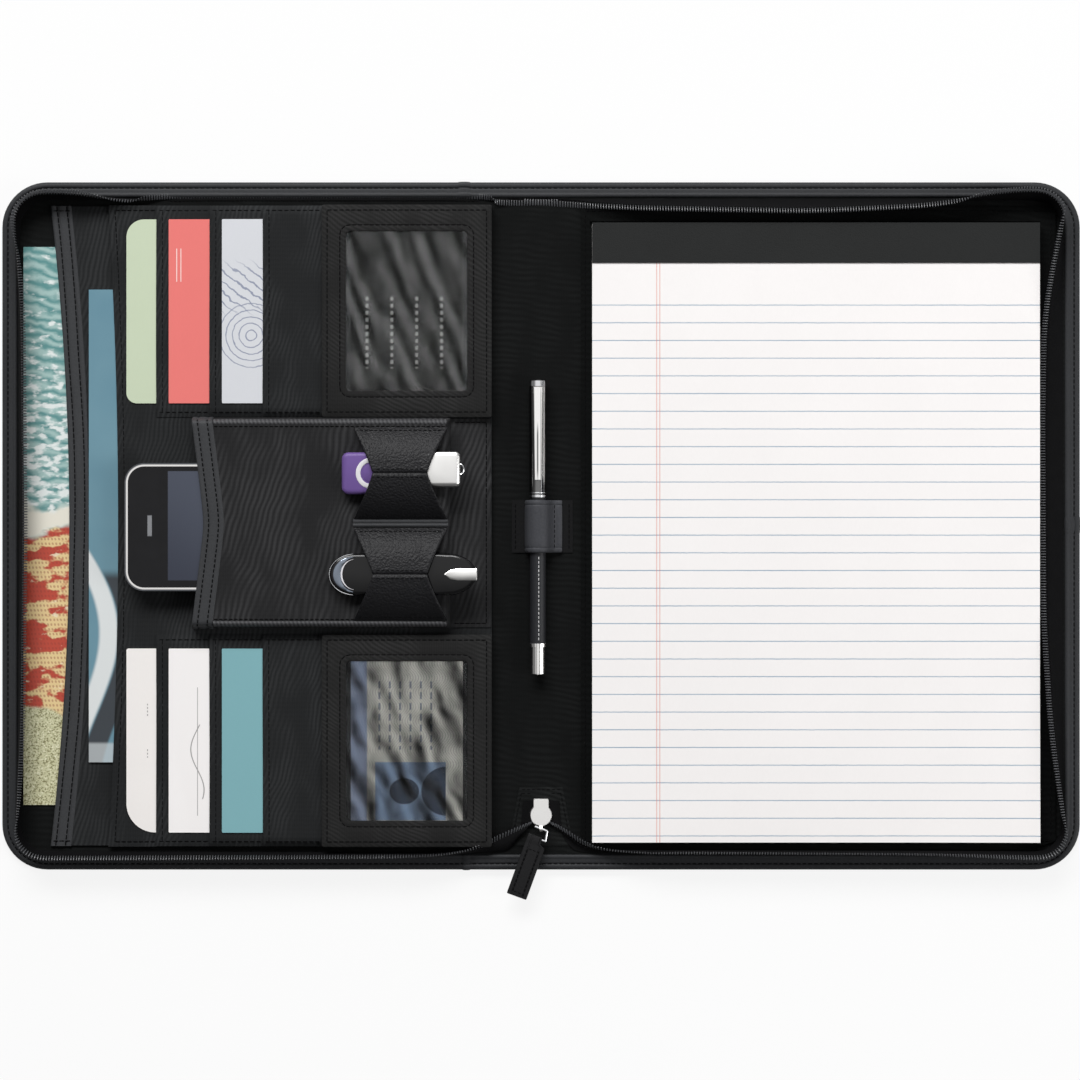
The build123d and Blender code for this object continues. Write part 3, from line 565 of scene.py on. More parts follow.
# the tab that covers the end of the zip on the spine
TAB_TOP, TAB_LONG, TAB_Z = -126.4, 28.4, 2.94
TAB_ROWS = (
    ((-9.6, -127.6), (9.6, -127.6)), ((-9.8, -129.4), (-4.6, -129.4)), ((4.6, -129.4), (9.8, -129.4)),
    ((-9.4, -128.6), (-14.4, -153.6)), ((9.4, -128.6), (14.4, -153.6)),
)
part, across = np.linspace(0, 1, 16), np.linspace(-1, 1, 9)
tab = flat_grid(across, TAB_TOP - TAB_LONG * part)
tab[:, :, 0] *= (10.4 + 5.4 * part)[:, None]
hem = np.interp(part, (0.0, 0.03, 0.08, 0.12, 0.15), (0.0, 0.45, 0.5, 0.35, 0.0))[:, None]
side_hem = np.interp(np.abs(across), (0.8, 0.86, 0.96, 1.0), (0.0, 0.3, 0.35, 0.0))[None]
tab_obj = slab(
    "zip_end_cloth", with_z(tab, TAB_Z + np.maximum(hem, side_hem) * 0.5), with_z(tab, 2.7), TAB_CLOTH,
    "spine", "zip_end_tab",
)
stitch("zip_end_stitches", [at_height(row, 3.08) for row in TAB_ROWS], "spine", 2.4, FINE_STITCH)

# the pull: a stitched leather tab that hangs aslant from the slider's eye
SWING = radians(20.0)
PULL_DOWN = np.array((-sin(SWING), -cos(SWING), 0.0))
PULL_SIDE = np.array((cos(SWING), -sin(SWING), 0.0))
EYE = np.array((0.0, -146.25, 7.3))
# distance down from the eye, reach to the left and right, half the thickness
PULL_RINGS = (
    (3.9, 4.6, 1.9, 0.7), (4.0, 4.8, 2.1, 1.0), (4.4, 4.9, 2.2, 1.2), (7.4, 5.0, 2.3, 1.2), (8.0, 5.0, 3.6, 1.15),
    (8.5, 5.0, 4.7, 1.15), (9.2, 5.0, 5.0, 1.2), (34.0, 5.0, 5.0, 1.2), (34.5, 4.9, 4.9, 1.15), (34.7, 4.6, 4.6, 0.8),
)
PULL_SECTION = (
    (-1, -0.6), (-1, 0.6), (-0.95, 0.9), (-0.66, 1), (-0.6, 0.76), (-0.5, 0.76), (-0.44, 1), (0, 1.02), (0.44, 1),
    (0.5, 0.76), (0.6, 0.76), (0.66, 1), (0.95, 0.9), (1, 0.6), (1, -0.6), (0.95, -0.9), (0.72, -1), (-0.72, -1),
    (-0.95, -0.9),
)
# across, down, height
PULL_ROW = (
    (-2.75, 11.0, 1.16), (2.75, 11.0, 1.16), (2.75, 11.2, 1.0), (2.75, 32.4, 1.0), (2.75, 32.6, 1.16),
    (-2.75, 32.6, 1.16), (-2.75, 32.4, 1.0), (-2.75, 11.2, 1.0),
)


def pull_point(across, down, z):
    return EYE + PULL_SIDE * across + PULL_DOWN * down + np.array((0, 0, z))


rings = []
for down, left, right, thick in PULL_RINGS:
    rings.append([pull_point((right if a > 0 else left) * a, down, thick * b) for a, b in PULL_SECTION])
sweep("pull_leather", rings, LEATHER_PULL, "pull_tab", "pull_tab")
stitch("pull_stitches", [[pull_point(*spot) for spot in PULL_ROW]], "pull_tab", 2.1, (1.6, 0.55, 0.45))

# Pocket panels with a hem along a curved mouth
HEM_STEP = np.array([0.0, 0.12, 0.5, 1.2, 2.2, 2.8, 3.05, 3.3, 4.2, 4.9, 6.0])
HEM_LIFT = np.array([-0.15, 0.35, 0.85, 1.0, 0.95, 0.75, 0.5, 0.75, 0.7, 0.1, 0.0])
HEM_SEAM = 3.05  # how far in from the mouth its stitches run
SEAM_IN, SEAM_EDGE = 2.6, 2.4  # how far in from a panel's other edges they run


def panel_grid(mouth, low, high, z, hem, columns=22, rows=56, sag=0.12):
    """Top points of a pocket front; mouth gives the left edge at a height, hem is how proud its hem stands."""
    grid = flat_grid(np.zeros(len(HEM_STEP) + columns), np.linspace(low, high, rows))
    for row in grid:
        y = row[0, 1]
        left = mouth(y)
        xs = np.concatenate([left + HEM_STEP, np.linspace(left + 9.0, ORG_RIGHT, columns)])
        wave = sag * np.sin(xs * 0.085 + y * 0.021) * np.sin(y * 0.047 + 1.1) * np.clip((ORG_RIGHT - xs) / 20, 0, 1)
        row[:, 0] = xs
        row[:, 2] = z - sag * 0.5 + wave * 0.5
        row[: len(HEM_STEP), 2] += HEM_LIFT * hem
    return grid


def bowed(ends, middle):
    """A mouth that curves from its ends to its middle."""
    return lambda y: ends + (middle - ends) * (1 - (y / ORG_HIGH) ** 2)


def waved(left, phase):
    """A mouth that is almost straight."""
    return lambda y: left + 0.08 * sin(y * 0.05 + phase)


def lower(grid, thick):
    return with_z(grid, grid[:, :, 2].mean(axis=1, keepdims=True) - thick)


file_mouth = bowed(-237.0, -228.0)
grid = panel_grid(file_mouth, -ORG_HIGH + 0.4, ORG_HIGH - 0.4, 3.74, 0.06)
obj = slab("file_pocket_front", grid, lower(grid, 0.2), PANEL, "front_cover", "file_pocket", "organiser_seams")

# its leather trim: three soft ridges between two sewn rows
TRIM_STEP = np.array([
    0.0, 0.1, 0.4, 1.1, 1.8, 2.2, 2.45, 2.95, 3.2, 3.8, 5.0, 6.2, 6.9, 7.15, 7.65, 7.9, 8.4, 9.3, 9.8, 9.95, 10.0,
])
TRIM_RISE = np.array([
    -0.2, 0.2, 0.5, 0.62, 0.5, 0.3, 0.1, 0.1, 0.3, 0.52, 0.62, 0.5, 0.3, 0.1, 0.1, 0.3, 0.55, 0.55, 0.3, 0.1, -0.2,
])
TRIM_SEAMS = (2.7, 7.4)
trim = flat_grid(TRIM_STEP, np.linspace(-ORG_HIGH + 0.2, ORG_HIGH - 0.2, 70))
ys = trim[:, 0, 1]
for row, y in zip(trim, ys):
    drift = 0.35 * sin(y * 0.055) + 0.2 * sin(y * 0.13 + 1)
    row[:, 0] = file_mouth(y) - 0.3 + TRIM_STEP + drift * np.sin(TRIM_STEP * pi / 10)
    row[:, 2] = 3.7 + TRIM_RISE * (0.9 + 0.06 * sin(y * 0.09))
slab("file_pocket_band", trim, with_z(trim, 3.5), LEATHER_TRIM, "front_cover", "file_pocket_trim")
rows = [[(file_mouth(y) - 0.3 + d + 0.3 * sin(y * 0.055), y, 3.82) for y in ys] for d in TRIM_SEAMS]
rows += [[(file_mouth(y) + d, y, 4.14) for d in (0.4, 9.2)] for y in (ORG_HIGH - SEAM_IN, SEAM_IN - ORG_HIGH)]
stitch("file_band_stitches", rows, "front_cover", 2.8, (2.4, 0.7, 0.45))

document_mouth = bowed(-209.2, -204.5)
grid = panel_grid(document_mouth, -ORG_HIGH, ORG_HIGH, 4.94, 0.1)
obj = slab("document_pocket_front", grid, lower(grid, 0.25), PANEL, "front_cover", "document_pocket")
rows = [[(document_mouth(y) + HEM_SEAM, y, 4.9) for y in np.linspace(-153, 153, 60)]]
rows += [[(x, y, 5.06) for x in (-206, -24)] for y in (ORG_HIGH - SEAM_EDGE, SEAM_EDGE - ORG_HIGH)]
stitch("document_stitches", rows, "front_cover")

# Card slots: three layers in each block, sewn down at their sides
BLOCKS = {"upper": (BLOCK_INNER, ORG_HIGH), "lower": (-ORG_HIGH, -BLOCK_INNER)}
SLOTS = (-186.0, -160.2, -134.4, -106.0)  # left ends of the slots, and where the window frame covers the last
SLOT_Z, SLOT_RISE = 5.68, 0.8
rows = []
for block, (low, high) in BLOCKS.items():
    for level, (left, right) in enumerate(zip(SLOTS, SLOTS[1:])):
        top = SLOT_Z + SLOT_RISE * level
        mouth = waved(left, level)
        grid = panel_grid(mouth, low + 0.2, high - 0.2, top, 0.16, 16, 40, 0.05)
        near = np.minimum(grid[:, :, 1] - low, high - grid[:, :, 1])
        fall = (1 - np.clip(near / 1.6, 0, 1)) ** 2
        grid[:, :, 2] = grid[:, :, 2] * (1 - fall) + (5.08 + 0.06 * level) * fall
        obj = slab(
            f"card_slot_{block}_{level + 1}", grid, grid - (0, 0, 0.26), PANEL,
            "front_cover", *given(level == 0, f"card_slots_{block}"),
        )
        (ORG_RIGHT - left) * 0.001
        ys = np.linspace(low + SEAM_EDGE, high - SEAM_EDGE, 30)
        rows.append([(mouth(y) + HEM_SEAM, y, top + 0.02) for y in ys])
        rows += [[(x, y, top + 0.02) for x in (left + 1, right - 0.5)] for y in (low + SEAM_IN, high - SEAM_IN)]
stitch("card_slot_stitches", rows, "front_cover")

# Window pockets: a sewn frame round a clear film
WINDOW_X, WINDOW_HALF_X, WINDOW_HALF_Y = -64.8, 29.25, 38.5
FRAME_LEFT = -105.8
# section of the frame: distance out of the window and height, then distance in from its outer edge and height
FRAME_INNER = (
    (0.0, 7.6), (0.0, 8.45), (0.12, 8.7), (0.5, 8.88), (2.5, 8.9), (2.8, 8.82), (3.0, 8.7), (3.2, 8.82), (3.5, 8.9),
    (6.0, 8.86),
)
FRAME_OUTER = ((0.6, 8.8), (0.15, 8.6), (0.0, 8.2), (0.0, 7.45))


def round_rect(left, right, low, high, radius):
    """Points round a rectangle with rounded corners, anticlockwise from its right side."""
    made = []
    for cx, cy, start in ((right - radius, high - radius, 0), (left + radius, high - radius, 90),
                          (left + radius, low + radius, 180), (right - radius, low + radius, 270)):
        made += [(cx + radius * cos(a), cy + radius * sin(a)) for a in np.radians(np.linspace(start, start + 90, 6))]
    return np.array(made)


def window_loop(middle, out):
    """Points round a window, that far out of it."""
    x, y = WINDOW_HALF_X + out, WINDOW_HALF_Y + out
    return round_rect(WINDOW_X - x, WINDOW_X + x, middle - y, middle + y, 2.0 + out)


def film(name, glint, shadow):
    """Clear sheet whose soft waves carry painted highlight streaks by the share of glint and painted dark reflections
    by the share of shadow.
    """
    paint = Paint(name, 0.08, Transmission_Weight=1.0, IOR=1.06, Specular_IOR_Level=0.1)
    swing = (paint.x * 0.88 + paint.y * 0.42 + paint.noise(28.0, 1.5) * 15.0).wave(10.5)
    ripple = (paint.x * 0.8 + paint.y * 0.3 + paint.noise(19.0, 1.5) * 12.0).wave(6.1)
    painted_streak = (swing * 0.7 + ripple * 0.3) * paint.noise(16.0, 2.0, (1, 1.6, 1)).step(0.22, 0.6)
    paint.colour(paint.mix(painted_streak * shadow, (0.97, 0.98, 0.98), (0.07, 0.07, 0.075)))
    paint.link("Transmission Weight", (painted_streak * -glint + 1.0).socket)
    return paint.bump(swing, 0.12, 0.5)


# the upper film has painted highlight streaks; the lower has painted dark reflections as well
FILMS = {"upper": film("clear_film_upper", 0.055, 0.0), "lower": film("clear_film_lower", 0.05, 0.95)}
for block, (low, high) in BLOCKS.items():
    middle = (low + high) / 2
    rings = [at_height(window_loop(middle, out), z) for out, z in FRAME_INNER]
    for inset, z in FRAME_OUTER:
        loop = round_rect(FRAME_LEFT + inset, ORG_RIGHT - inset, low + inset, high - inset, 1.0)
        rings.append(at_height(loop, z))
    obj = sweep(
        f"window_frame_{block}", rings, FRAME_CLOTH,
        "front_cover", *given(block == "upper", "window_pockets"), loop=True,
    )
    row = window_loop(middle, 3)
    rows = [at_height(np.concatenate([row, row[:1]]), 8.86)]
    rows += [[(x, y, 8.92) for x in (-103.4, -26.2)] for y in (low + SEAM_IN, high - SEAM_IN)]
    rows += [[(x, y, 8.92) for y in (low + SEAM_IN, high - SEAM_IN)] for x in (-103.2, -26.2)]
    stitch(f"window_stitches_{block}", rows, "front_cover")
for block, (low, high) in BLOCKS.items():
    middle = (low + high) / 2
    xs, ys = np.linspace(WINDOW_X - 33, WINDOW_X + 33, 32), np.linspace(middle - 42, middle + 42, 40)
    grid = flat_grid(xs, ys)
    ripple = np.sin(grid[:, :, 0] * 0.42 + grid[:, :, 1] * 0.23 + 2 * np.sin(grid[:, :, 1] * 0.11)) * 0.06
    slab(
        f"window_film_{block}", with_z(grid, 8.42 + ripple), with_z(grid, 8.34 + ripple), FILMS[block],
        "front_cover", *given(block == "upper", "window_films"),
    )

# Phone pocket: a boxed front that rolls over its sides, a trimmed mouth and a low apron behind
POCKET_LOW, POCKET_HIGH, POCKET_RIGHT = -49.5, 52.4, -43.8
POCKET_FOOT_Z, POCKET_TALL, POCKET_ROLL = 5.05, 9.4, 3.2
NEAR = np.array([0.0, 0.06, 0.25, 0.6, 1.1, 1.8, 2.6, 3.4, 5.0])  # rows that follow a rolled side


def pocket_mouth(y):
    """Left edge of the pocket: two nearly straight runs that meet in its middle."""
    return -162.0 - 5.8 * (np.sqrt(np.square((y - 1.45) / 50.95) + 0.012) - 0.11) / 0.896


def rolled(distance):
    return np.sqrt(np.clip(1 - (1 - np.clip(distance / POCKET_ROLL, 0, 1)) ** 2, 0, 1))


def pocket_surface(xs, ys):
    """Points of the pocket front over grids of X and Y, and the direction out of it."""
    xs, ys = np.broadcast_arrays(xs, ys)
    side = rolled(np.minimum(ys - POCKET_LOW, POCKET_HIGH - ys))
    end = rolled(POCKET_RIGHT - xs)
    soft = 0.14 * np.sin(xs * 0.11 + ys * 0.05) * np.sin(ys * 0.09)
    points = np.stack([xs, ys, POCKET_FOOT_Z + (POCKET_TALL + soft) * side * end], axis=2)
    out = np.cross(np.gradient(points, axis=1), np.gradient(points, axis=0))
    out /= np.maximum(np.linalg.norm(out, axis=2, keepdims=True), 1e-9)
    return points, out * np.where(out[:, :, 2:] < 0, -1, 1)


pocket_ys = np.linspace(POCKET_LOW + 9, POCKET_HIGH - 9, 26)
pocket_ys = np.concatenate([POCKET_LOW + NEAR, pocket_ys, POCKET_HIGH - NEAR[::-1]])[:, None]
left = pocket_mouth(pocket_ys)
steps = np.linspace(left[:, 0] + 14, POCKET_RIGHT - 9, 22, axis=1)
xs = np.hstack([left + (0.0, 0.5, 2, 5, 9), steps, np.tile(POCKET_RIGHT - NEAR[::-1], (len(left), 1))])
top, out = pocket_surface(xs, pocket_ys)
obj = slab(
    "phone_pocket_shell", top, top - out * 0.35, POCKET,
    "front_cover", "phone_pocket_front", "phone_pocket_gusset",
)
top, out = pocket_surface(left - 0.4 + TRIM_STEP, pocket_ys)
rise = (TRIM_RISE * 0.6)[None, :, None]
slab("phone_pocket_band", top + out * rise, top - out * 0.12, LEATHER_TRIM, "front_cover", "phone_pocket_trim")
seams, _ = pocket_surface(left - 0.4 + np.array(TRIM_SEAMS), pocket_ys)
rows = [seams[4:-4, k] + (0, 0, 0.18) for k in (0, 1)]
for which, edge, inward in (("lower", POCKET_LOW, 1), ("upper", POCKET_HIGH, -1)):
    along_x = np.linspace(pocket_mouth(edge) + 10.2, POCKET_RIGHT - 2.0, 60)
    line, _ = pocket_surface(along_x[None].repeat(2, 0), edge + inward * 4.6)
    rows.append(line[0] + (0, 0, 0.12))
    depth = edge + inward * np.linspace(1.0, 3.6, 9)
    full = (0.5 * np.sin(np.linspace(0, pi, 9)) ** 0.6)[:, None]
    rings = []
    for x in along_x:
        spots, out = pocket_surface(np.array([[x], [x + 0.3]]), depth)
        rings.append(np.concatenate([spots[0] + out[0] * full, (spots[0] - out[0] * 0.15)[::-1]]))
    sweep(f"phone_pocket_welt_{which}", rings, WELT, "front_cover")
stitch("phone_pocket_stitches", rows, "front_cover", 2.4, (1.7, 0.6, 0.5))
grid = flat_grid(np.linspace(-50.0, ORG_RIGHT - 0.3, 12), np.linspace(POCKET_LOW + 0.6, POCKET_HIGH - 0.6, 30))
slope = np.clip((grid[:, :, 0] + 46) / 8, 0, 1)
slab("phone_pocket_apron", with_z(grid, 6.4 - 0.9 * slope), with_z(grid, 5.02), POCKET, "front_cover")
APRON_SEAM = ((-42.0, 6.0), (-37.0, 5.56), (-26.4, 5.56))
ends = (POCKET_LOW + SEAM_EDGE, POCKET_HIGH - SEAM_EDGE)
rows = [[(-26.4, y, 5.56) for y in ends]] + [[(x, y, z) for x, z in APRON_SEAM] for y in ends]
stitch("apron_stitches", rows, "front_cover", 2.6)

# Loops for the sticks: each strap is two leather halves sewn at the crest
LOOP_X, LOOP_FOOT_Z = -67.5, 14.6
LOOPS = {"upper": 25.2, "lower": -23.3}
HALF_SPAN, CREST = 22.3, 8.7
LOOP_WAIST, LOOP_END = 13.1, 22.5  # half its width
LOOP_RADIUS = (HALF_SPAN**2 + CREST**2) / (2 * CREST)
LOOP_ACROSS = np.array([-1, -0.985, -0.95, -0.9, -0.86, -0.6, -0.3, 0, 0.3, 0.6, 0.86, 0.9, 0.95, 0.985, 1])
LOOP_SEAMS = ((-20.6, 20), (20.6, 20), (-1.9, 11.5), (1.9, 11.5))  # offset from the crest, reach to each side


def loop_height(offset):
    return LOOP_FOOT_Z + CREST - LOOP_RADIUS + np.sqrt(LOOP_RADIUS**2 - offset**2)


for which, centre in LOOPS.items():
    flank = np.linspace(2, HALF_SPAN, 20)
    offsets = np.concatenate([-flank[::-1], [-1.4, -0.8, -0.35, 0, 0.35, 0.8, 1.4], flank])
    roll = np.interp(np.abs(LOOP_ACROSS), (0, 0.84, 0.87, 0.92, 0.97, 1.0), (0, 0, -0.12, 0.14, 0.1, -0.25))
    half = LOOP_WAIST + (LOOP_END - LOOP_WAIST) * (np.abs(offsets) / HALF_SPAN) ** 1.15
    seam = -0.5 * np.exp(-((offsets / 0.5) ** 2)) + 0.16 * np.exp(-(((np.abs(offsets) - 1.7) / 0.8) ** 2))
    top = flat_grid(LOOP_ACROSS, centre + offsets)
    top[:, :, 0] = LOOP_X + half[:, None] * LOOP_ACROSS
    top[:, :, 2] = (loop_height(offsets) + seam)[:, None] + roll
    out = np.zeros_like(top)
    out[:, :, 1] = (offsets / LOOP_RADIUS)[:, None]
    out[:, :, 2] = np.sqrt(1 - out[:, :, 1] ** 2)
    obj = slab(
        f"stick_loop_{which}", top, top - out * 0.55, LEATHER_STRAP,
        "front_cover", *given(which == "upper", "usb_loops"),
    )
    rows = []
    for offset, reach in LOOP_SEAMS:
        z = loop_height(offset) + 0.08
        rows.append([(x, centre + offset, z) for x in (LOOP_X - reach, LOOP_X + reach)])
    stitch(f"stick_loop_stitches_{which}", rows, "front_cover", 2.3, (1.6, 0.6, 0.4))
steps = np.array([-0.6, -0.55, -0.1, 0.5, 0.9, 1.2, 1.5, 2.2, 2.8, 3.05, 3.1])
lift = np.array([0.0, 0.3, 0.75, 0.85, 0.6, 0.35, 0.6, 0.85, 0.7, 0.3, 0.0])
band = flat_grid(np.linspace(LOOP_X - 22.8, LOOP_X + 22.8, 24), steps).transpose(1, 0, 2)
slab("stick_loop_band", with_z(band, 14.5 + lift), with_z(band, 14.35), LEATHER_TRIM, "front_cover")


# Memory sticks
def dome(name, loop, levels, paint, body, *nodes):
    """A rounded block from an outline; levels are how far in and how high each ring is."""
    loop = np.asarray(loop, float)
    ahead = np.roll(loop, -1, axis=0) - np.roll(loop, 1, axis=0)
    out = unit(np.column_stack([ahead[:, 1], -ahead[:, 0]]))
    sweep(name, [at_height(loop - out * inset, z) for inset, z in levels], paint, body, *nodes, sharp=40)


STICK_Z = 15.1
TOP_Z = STICK_Z + 5.55
ROUND = ((0.8, 0.0), (0.2, 0.25), (0.0, 0.8), (0.0, 3.8), (0.25, 4.7), (0.9, 5.3), (2.0, 5.6))
LEVELS = [(i, STICK_Z + z) for i, z in ROUND]
VIOLET = plastic("violet_plastic", rgb(108, 84, 146), 0.34, 0.2)
BLUED_CHROME = metal("blued_chrome", rgb(128, 136, 148), 0.16)
WHITE_PLASTIC = plastic("white_plastic", rgb(226, 224, 228))
BLACK_GLOSS = plastic("black_gloss", rgb(18, 18, 19), 0.12, 0.3)


def stick_sizes(stick):
    """Left end, split, right end, low and high side and middle of a stick."""
    low, high = box_mm(f"{stick}_body")
    split, right = (corner[0] for corner in box_mm(f"{stick}_cap"))
    return low[0], split, right, low[1], high[1], (low[1] + high[1]) / 2


left, split, right, y0, y1, middle = stick_sizes("usb_violet")
body = round_rect(left, split - 0.1, y0, y1, 3.2)
dome("violet_stick_body", body, LEVELS, VIOLET, "usb_violet", "usb_violet_body")
cap_levels = [(i + 0.2, STICK_Z + z * 0.98) for i, z in ROUND]
cap = round_rect(split + 0.1, right, y0 + 3.2, y1 + 0.7, 2.6)
dome("violet_stick_clip", cap, cap_levels, SILVER, "usb_violet", "usb_violet_cap")
RING = ((5.2, 0), (5.2, 0.245), (5.5, 0.35), (7.1, 0.35), (7.4, 0.245), (7.4, 0))  # section: radius and height
rings = []
for a in np.radians(np.linspace(80, 290, 25)):
    rings.append([(left + 14.2 + r * cos(a), middle + r * sin(a), TOP_Z + h) for r, h in RING])
sweep("violet_stick_ring", rings, WHITE_PLASTIC, "usb_violet")
hub = round_rect(left + 10.0, left + 18.4, middle - 4.2, middle + 4.2, 4.1)
dome("violet_stick_hub", hub, ((0, TOP_Z), (0, TOP_Z + 0.25), (0.5, TOP_Z + 0.4)), VIOLET, "usb_violet")
rings = []
for a in np.linspace(-pi * 0.62, pi * 0.62, 20):
    spot = np.array((right + 1.6 * cos(a) - 0.2, middle + 1.9 + 2.4 * sin(a), STICK_Z + 3.0))
    turn = [0.4 * np.array((cos(a) * cos(b), sin(a) * cos(b), sin(b))) for b in np.arange(8) * pi / 4]
    rings.append([spot + away for away in turn])
sweep("violet_stick_eyelet", rings, CHROME, "usb_violet")

left, split, right, y0, y1, middle = stick_sizes("usb_black")
half_turn = np.linspace(0, pi, 22)
body = [(left + 12 - 12 * sin(a), middle + 10 * cos(a)) for a in half_turn] + [(split - 0.1, y0), (split - 0.1, y1)]
dome("black_stick_body", body, LEVELS, BLACK_GLOSS, "usb_black", "usb_black_body")
cap = [(right - 14 + 14 * sin(a), middle - 10 * cos(a)) for a in half_turn] + [(split + 0.1, y1), (split + 0.1, y0)]
dome("black_stick_cap", cap, LEVELS, BLACK_GLOSS, "usb_black", "usb_black_cap")
centre = np.array((left + 12.6, middle))
# outer and inner half axes, height over the top
CRESCENTS = (
    ("crescent", (10.2, 8.6), (6.6, 7.2), 0.4, BLUED_CHROME),
    # the white strip along the crescent's inner edge is a painted highlight
    ("crescent_highlight_line", (6.7, 7.3), (5.8, 6.9), 0.5, WHITE_PLASTIC),
    ("rim", (12.3, 9.9), (11.7, 9.4), -0.6, CHROME),
)
for name, outer, inner, tall, paint in CRESCENTS:
    section = ((0, -1.4), (0, tall * 0.6), (0.1, tall), (0.8, tall), (1, tall * 0.6), (1, -1.4))
    rings = []
    for a in np.radians(np.linspace(94, 266, 33)):
        slim = abs(cos(a)) ** 0.5
        far, near = (np.array((axes[0] * cos(a), axes[1] * sin(a))) for axes in (outer, inner))
        near = far * (1 - slim) + near * slim
        rings.append([(*(centre + near * (1 - share) + far * share), TOP_Z + h) for share, h in section])
    sweep(f"black_stick_{name}", rings, paint, "usb_black")
tongue = [(-15.5, 0), (-12.5, -2.2), (-9, -2.8), (0.2, -2.8), (0.2, 2.8), (-9, 2.8), (-12.5, 2.2)]
tongue_levels = ((0, STICK_Z + 3.6), (0, TOP_Z + 0.2), (0.5, TOP_Z + 0.45))
dome("black_stick_tongue", np.array(tongue) + (right, middle), tongue_levels, SILVER, "usb_black")


# Things that keep their own solids get their finish
def dress(paint, *names):
    if paint.ground:
        paint.colour(paint.ground)
    for name in names:
        obj = NODES[name]
        if not obj.material_slots:
            obj.data.materials.append(paint.mat)
        for slot in obj.material_slots:
            slot.material = paint.mat


dress(paper("board", rgb(120, 118, 112)), "front_board", "back_board", "spine_board")
dress(metal("slider_metal", rgb(252, 249, 247), 0.24), "zip_slider")
dress(CHROME, "pull_hook")


def reflection_painted_metal(name, dark, *painted_reflections):
    """Bright round metal with painted reflections: dark lines along Y; each is left, right, low, high and strength."""
    paint = Paint(name, 0.16, 1.0)
    amount = paint.noise(6.0, 2.0, (1, 6, 1)) * 0.06
    for left, right, low, high, strength in painted_reflections:
        amount = amount + paint.x.band(left, right, 0.3) * paint.y.band(low, high, 4.0) * strength
    paint.colour(paint.mix(amount.capped(), rgb(250, 249, 247), dark))
    return paint.rough(paint.noise(0.5, 2.0, (1, 8, 1)) * 0.1 + 0.12)


# the pen's ferrule, clip and cap get painted reflections: dark and bright lines set by position along the pen
FERRULE = reflection_painted_metal("ferrule_metal_painted_reflections", rgb(60, 62, 64), (-2.3, -1.9, -90, -50, 0.7), (-0.9, -0.6, -90, -50, 0.8))
CLIP = reflection_painted_metal(
    "clip_metal_painted_reflections", rgb(34, 36, 38), (-2.0, -1.3, 24, 47, 0.8), (-0.3, 0.1, 20, 66, 0.45), (-3.4, -3.1, 20, 66, 0.3)
)
CAP = reflection_painted_metal("cap_metal_painted_reflections", rgb(36, 38, 41), (-9, 0.9, -90, 90, 0.8), (1.8, 9, -90, 90, 0.62), (0.5, 2, 10, 22, 0.8))
dress(FERRULE, "pen_ferrule")
dress(CLIP, "pen_clip")
dress(CAP, "pen_cap")
dress(leather("pen_leather", rgb(37, 38, 41), 0.7, 0.4, 0.25), "pen_barrel")

# Phone: chrome rim with painted shade on its outer rounding, dark back, a dark face with its screen, a painted sheen on
# it, and ear slot
PHONE_CORNER = 9.5
RIM = Paint("phone_rim", 0.16)
back = RIM.z.step(9.5, 10.5)
RIM.link("Metallic", back.socket)
low, high = box_mm("phone_body")
centre, reach = (low + high) / 2, (high - low) / 2 - PHONE_CORNER
away_x, away_y = (
    ((v - float(c)).math("ABSOLUTE") - float(r)).math("MAXIMUM", 0.0) for v, c, r in zip((RIM.x, RIM.y), centre, reach)
)
inside = (away_x * away_x + away_y * away_y).math("SQRT") * -1.0 + PHONE_CORNER
# painted shade: the rim is dark grey on its outer rounding and bright chrome further in
rim_painted_shade = RIM.mix(inside.step(0.5, 1.0), rgb(86, 88, 92), rgb(236, 234, 232))
RIM.colour(RIM.mix(back, rgb(30, 31, 33), rim_painted_shade))
RIM.rough(RIM.noise(0.8) * 0.1 + 0.12)
dress(RIM, "phone_body")
GLASS = Paint("phone_face", 0.06, Specular_IOR_Level=0.2)
x, y = GLASS.x, GLASS.y
# the screen is blue-grey with a painted sheen that grows lighter towards the upper right
screen_sheen_painted = GLASS.mix((x * 0.5 + y * 0.86).step(-118.0, -62.0), rgb(54, 58, 71), rgb(74, 79, 92))
GLASS.ground = GLASS.mix(GLASS.noise(9.0), rgb(12, 12, 14), rgb(24, 24, 27))
GLASS.over(x.band(-179.4, -100.0, 0.2) * y.band(-26.2, 26.3, 0.2), screen_sheen_painted)
ear = x.band(-189.2, -187.1, 0.15) * y.band(-4.9, 5.0, 0.3)
GLASS.over(ear * (y.wave(0.5) * 0.5 + 0.5), rgb(150, 152, 156))
dress(GLASS, "phone_glass")

# Cards and papers: plain stock with small marks of no particular maker
dress(paper("card_green_stock", rgb(201, 213, 186)), "card_green")
dress(paper("card_teal_stock", rgb(128, 177, 184)), "card_teal")
card = paper("card_coral_stock", rgb(235, 123, 118))
marks = card.x.rule(2.0, 0.35, -176.0) * card.x.band(-177.0, -173.2) * card.y.band(118.0, 134.0)
card.over(marks, rgb(250, 236, 232))
dress(card, "card_coral")
card = paper("card_white_stock", rgb(215, 217, 222))
away = ((card.x + 140.0).square() + (card.y - 92.0).square()).math("SQRT")
rings = (away + card.noise(3.0) * 1.2).rule(3.2, 0.5) * away.step(17.0, 15.0)
leaf = (card.y * 0.8 + card.x * 0.6 + card.noise(5.0, 3.0) * 4.0).rule(4.1, 0.7) * card.y.band(104.0, 126.0, 4.0)
card.over((rings + leaf).capped() * 0.7, rgb(96, 108, 142))
dress(card, "card_white")
card = paper("card_cream_stock", rgb(247, 243, 240))
marks = card.x.band(-190.4, -190.0, 0.1) * card.y.wave(1.7).step(0.4, 0.6)
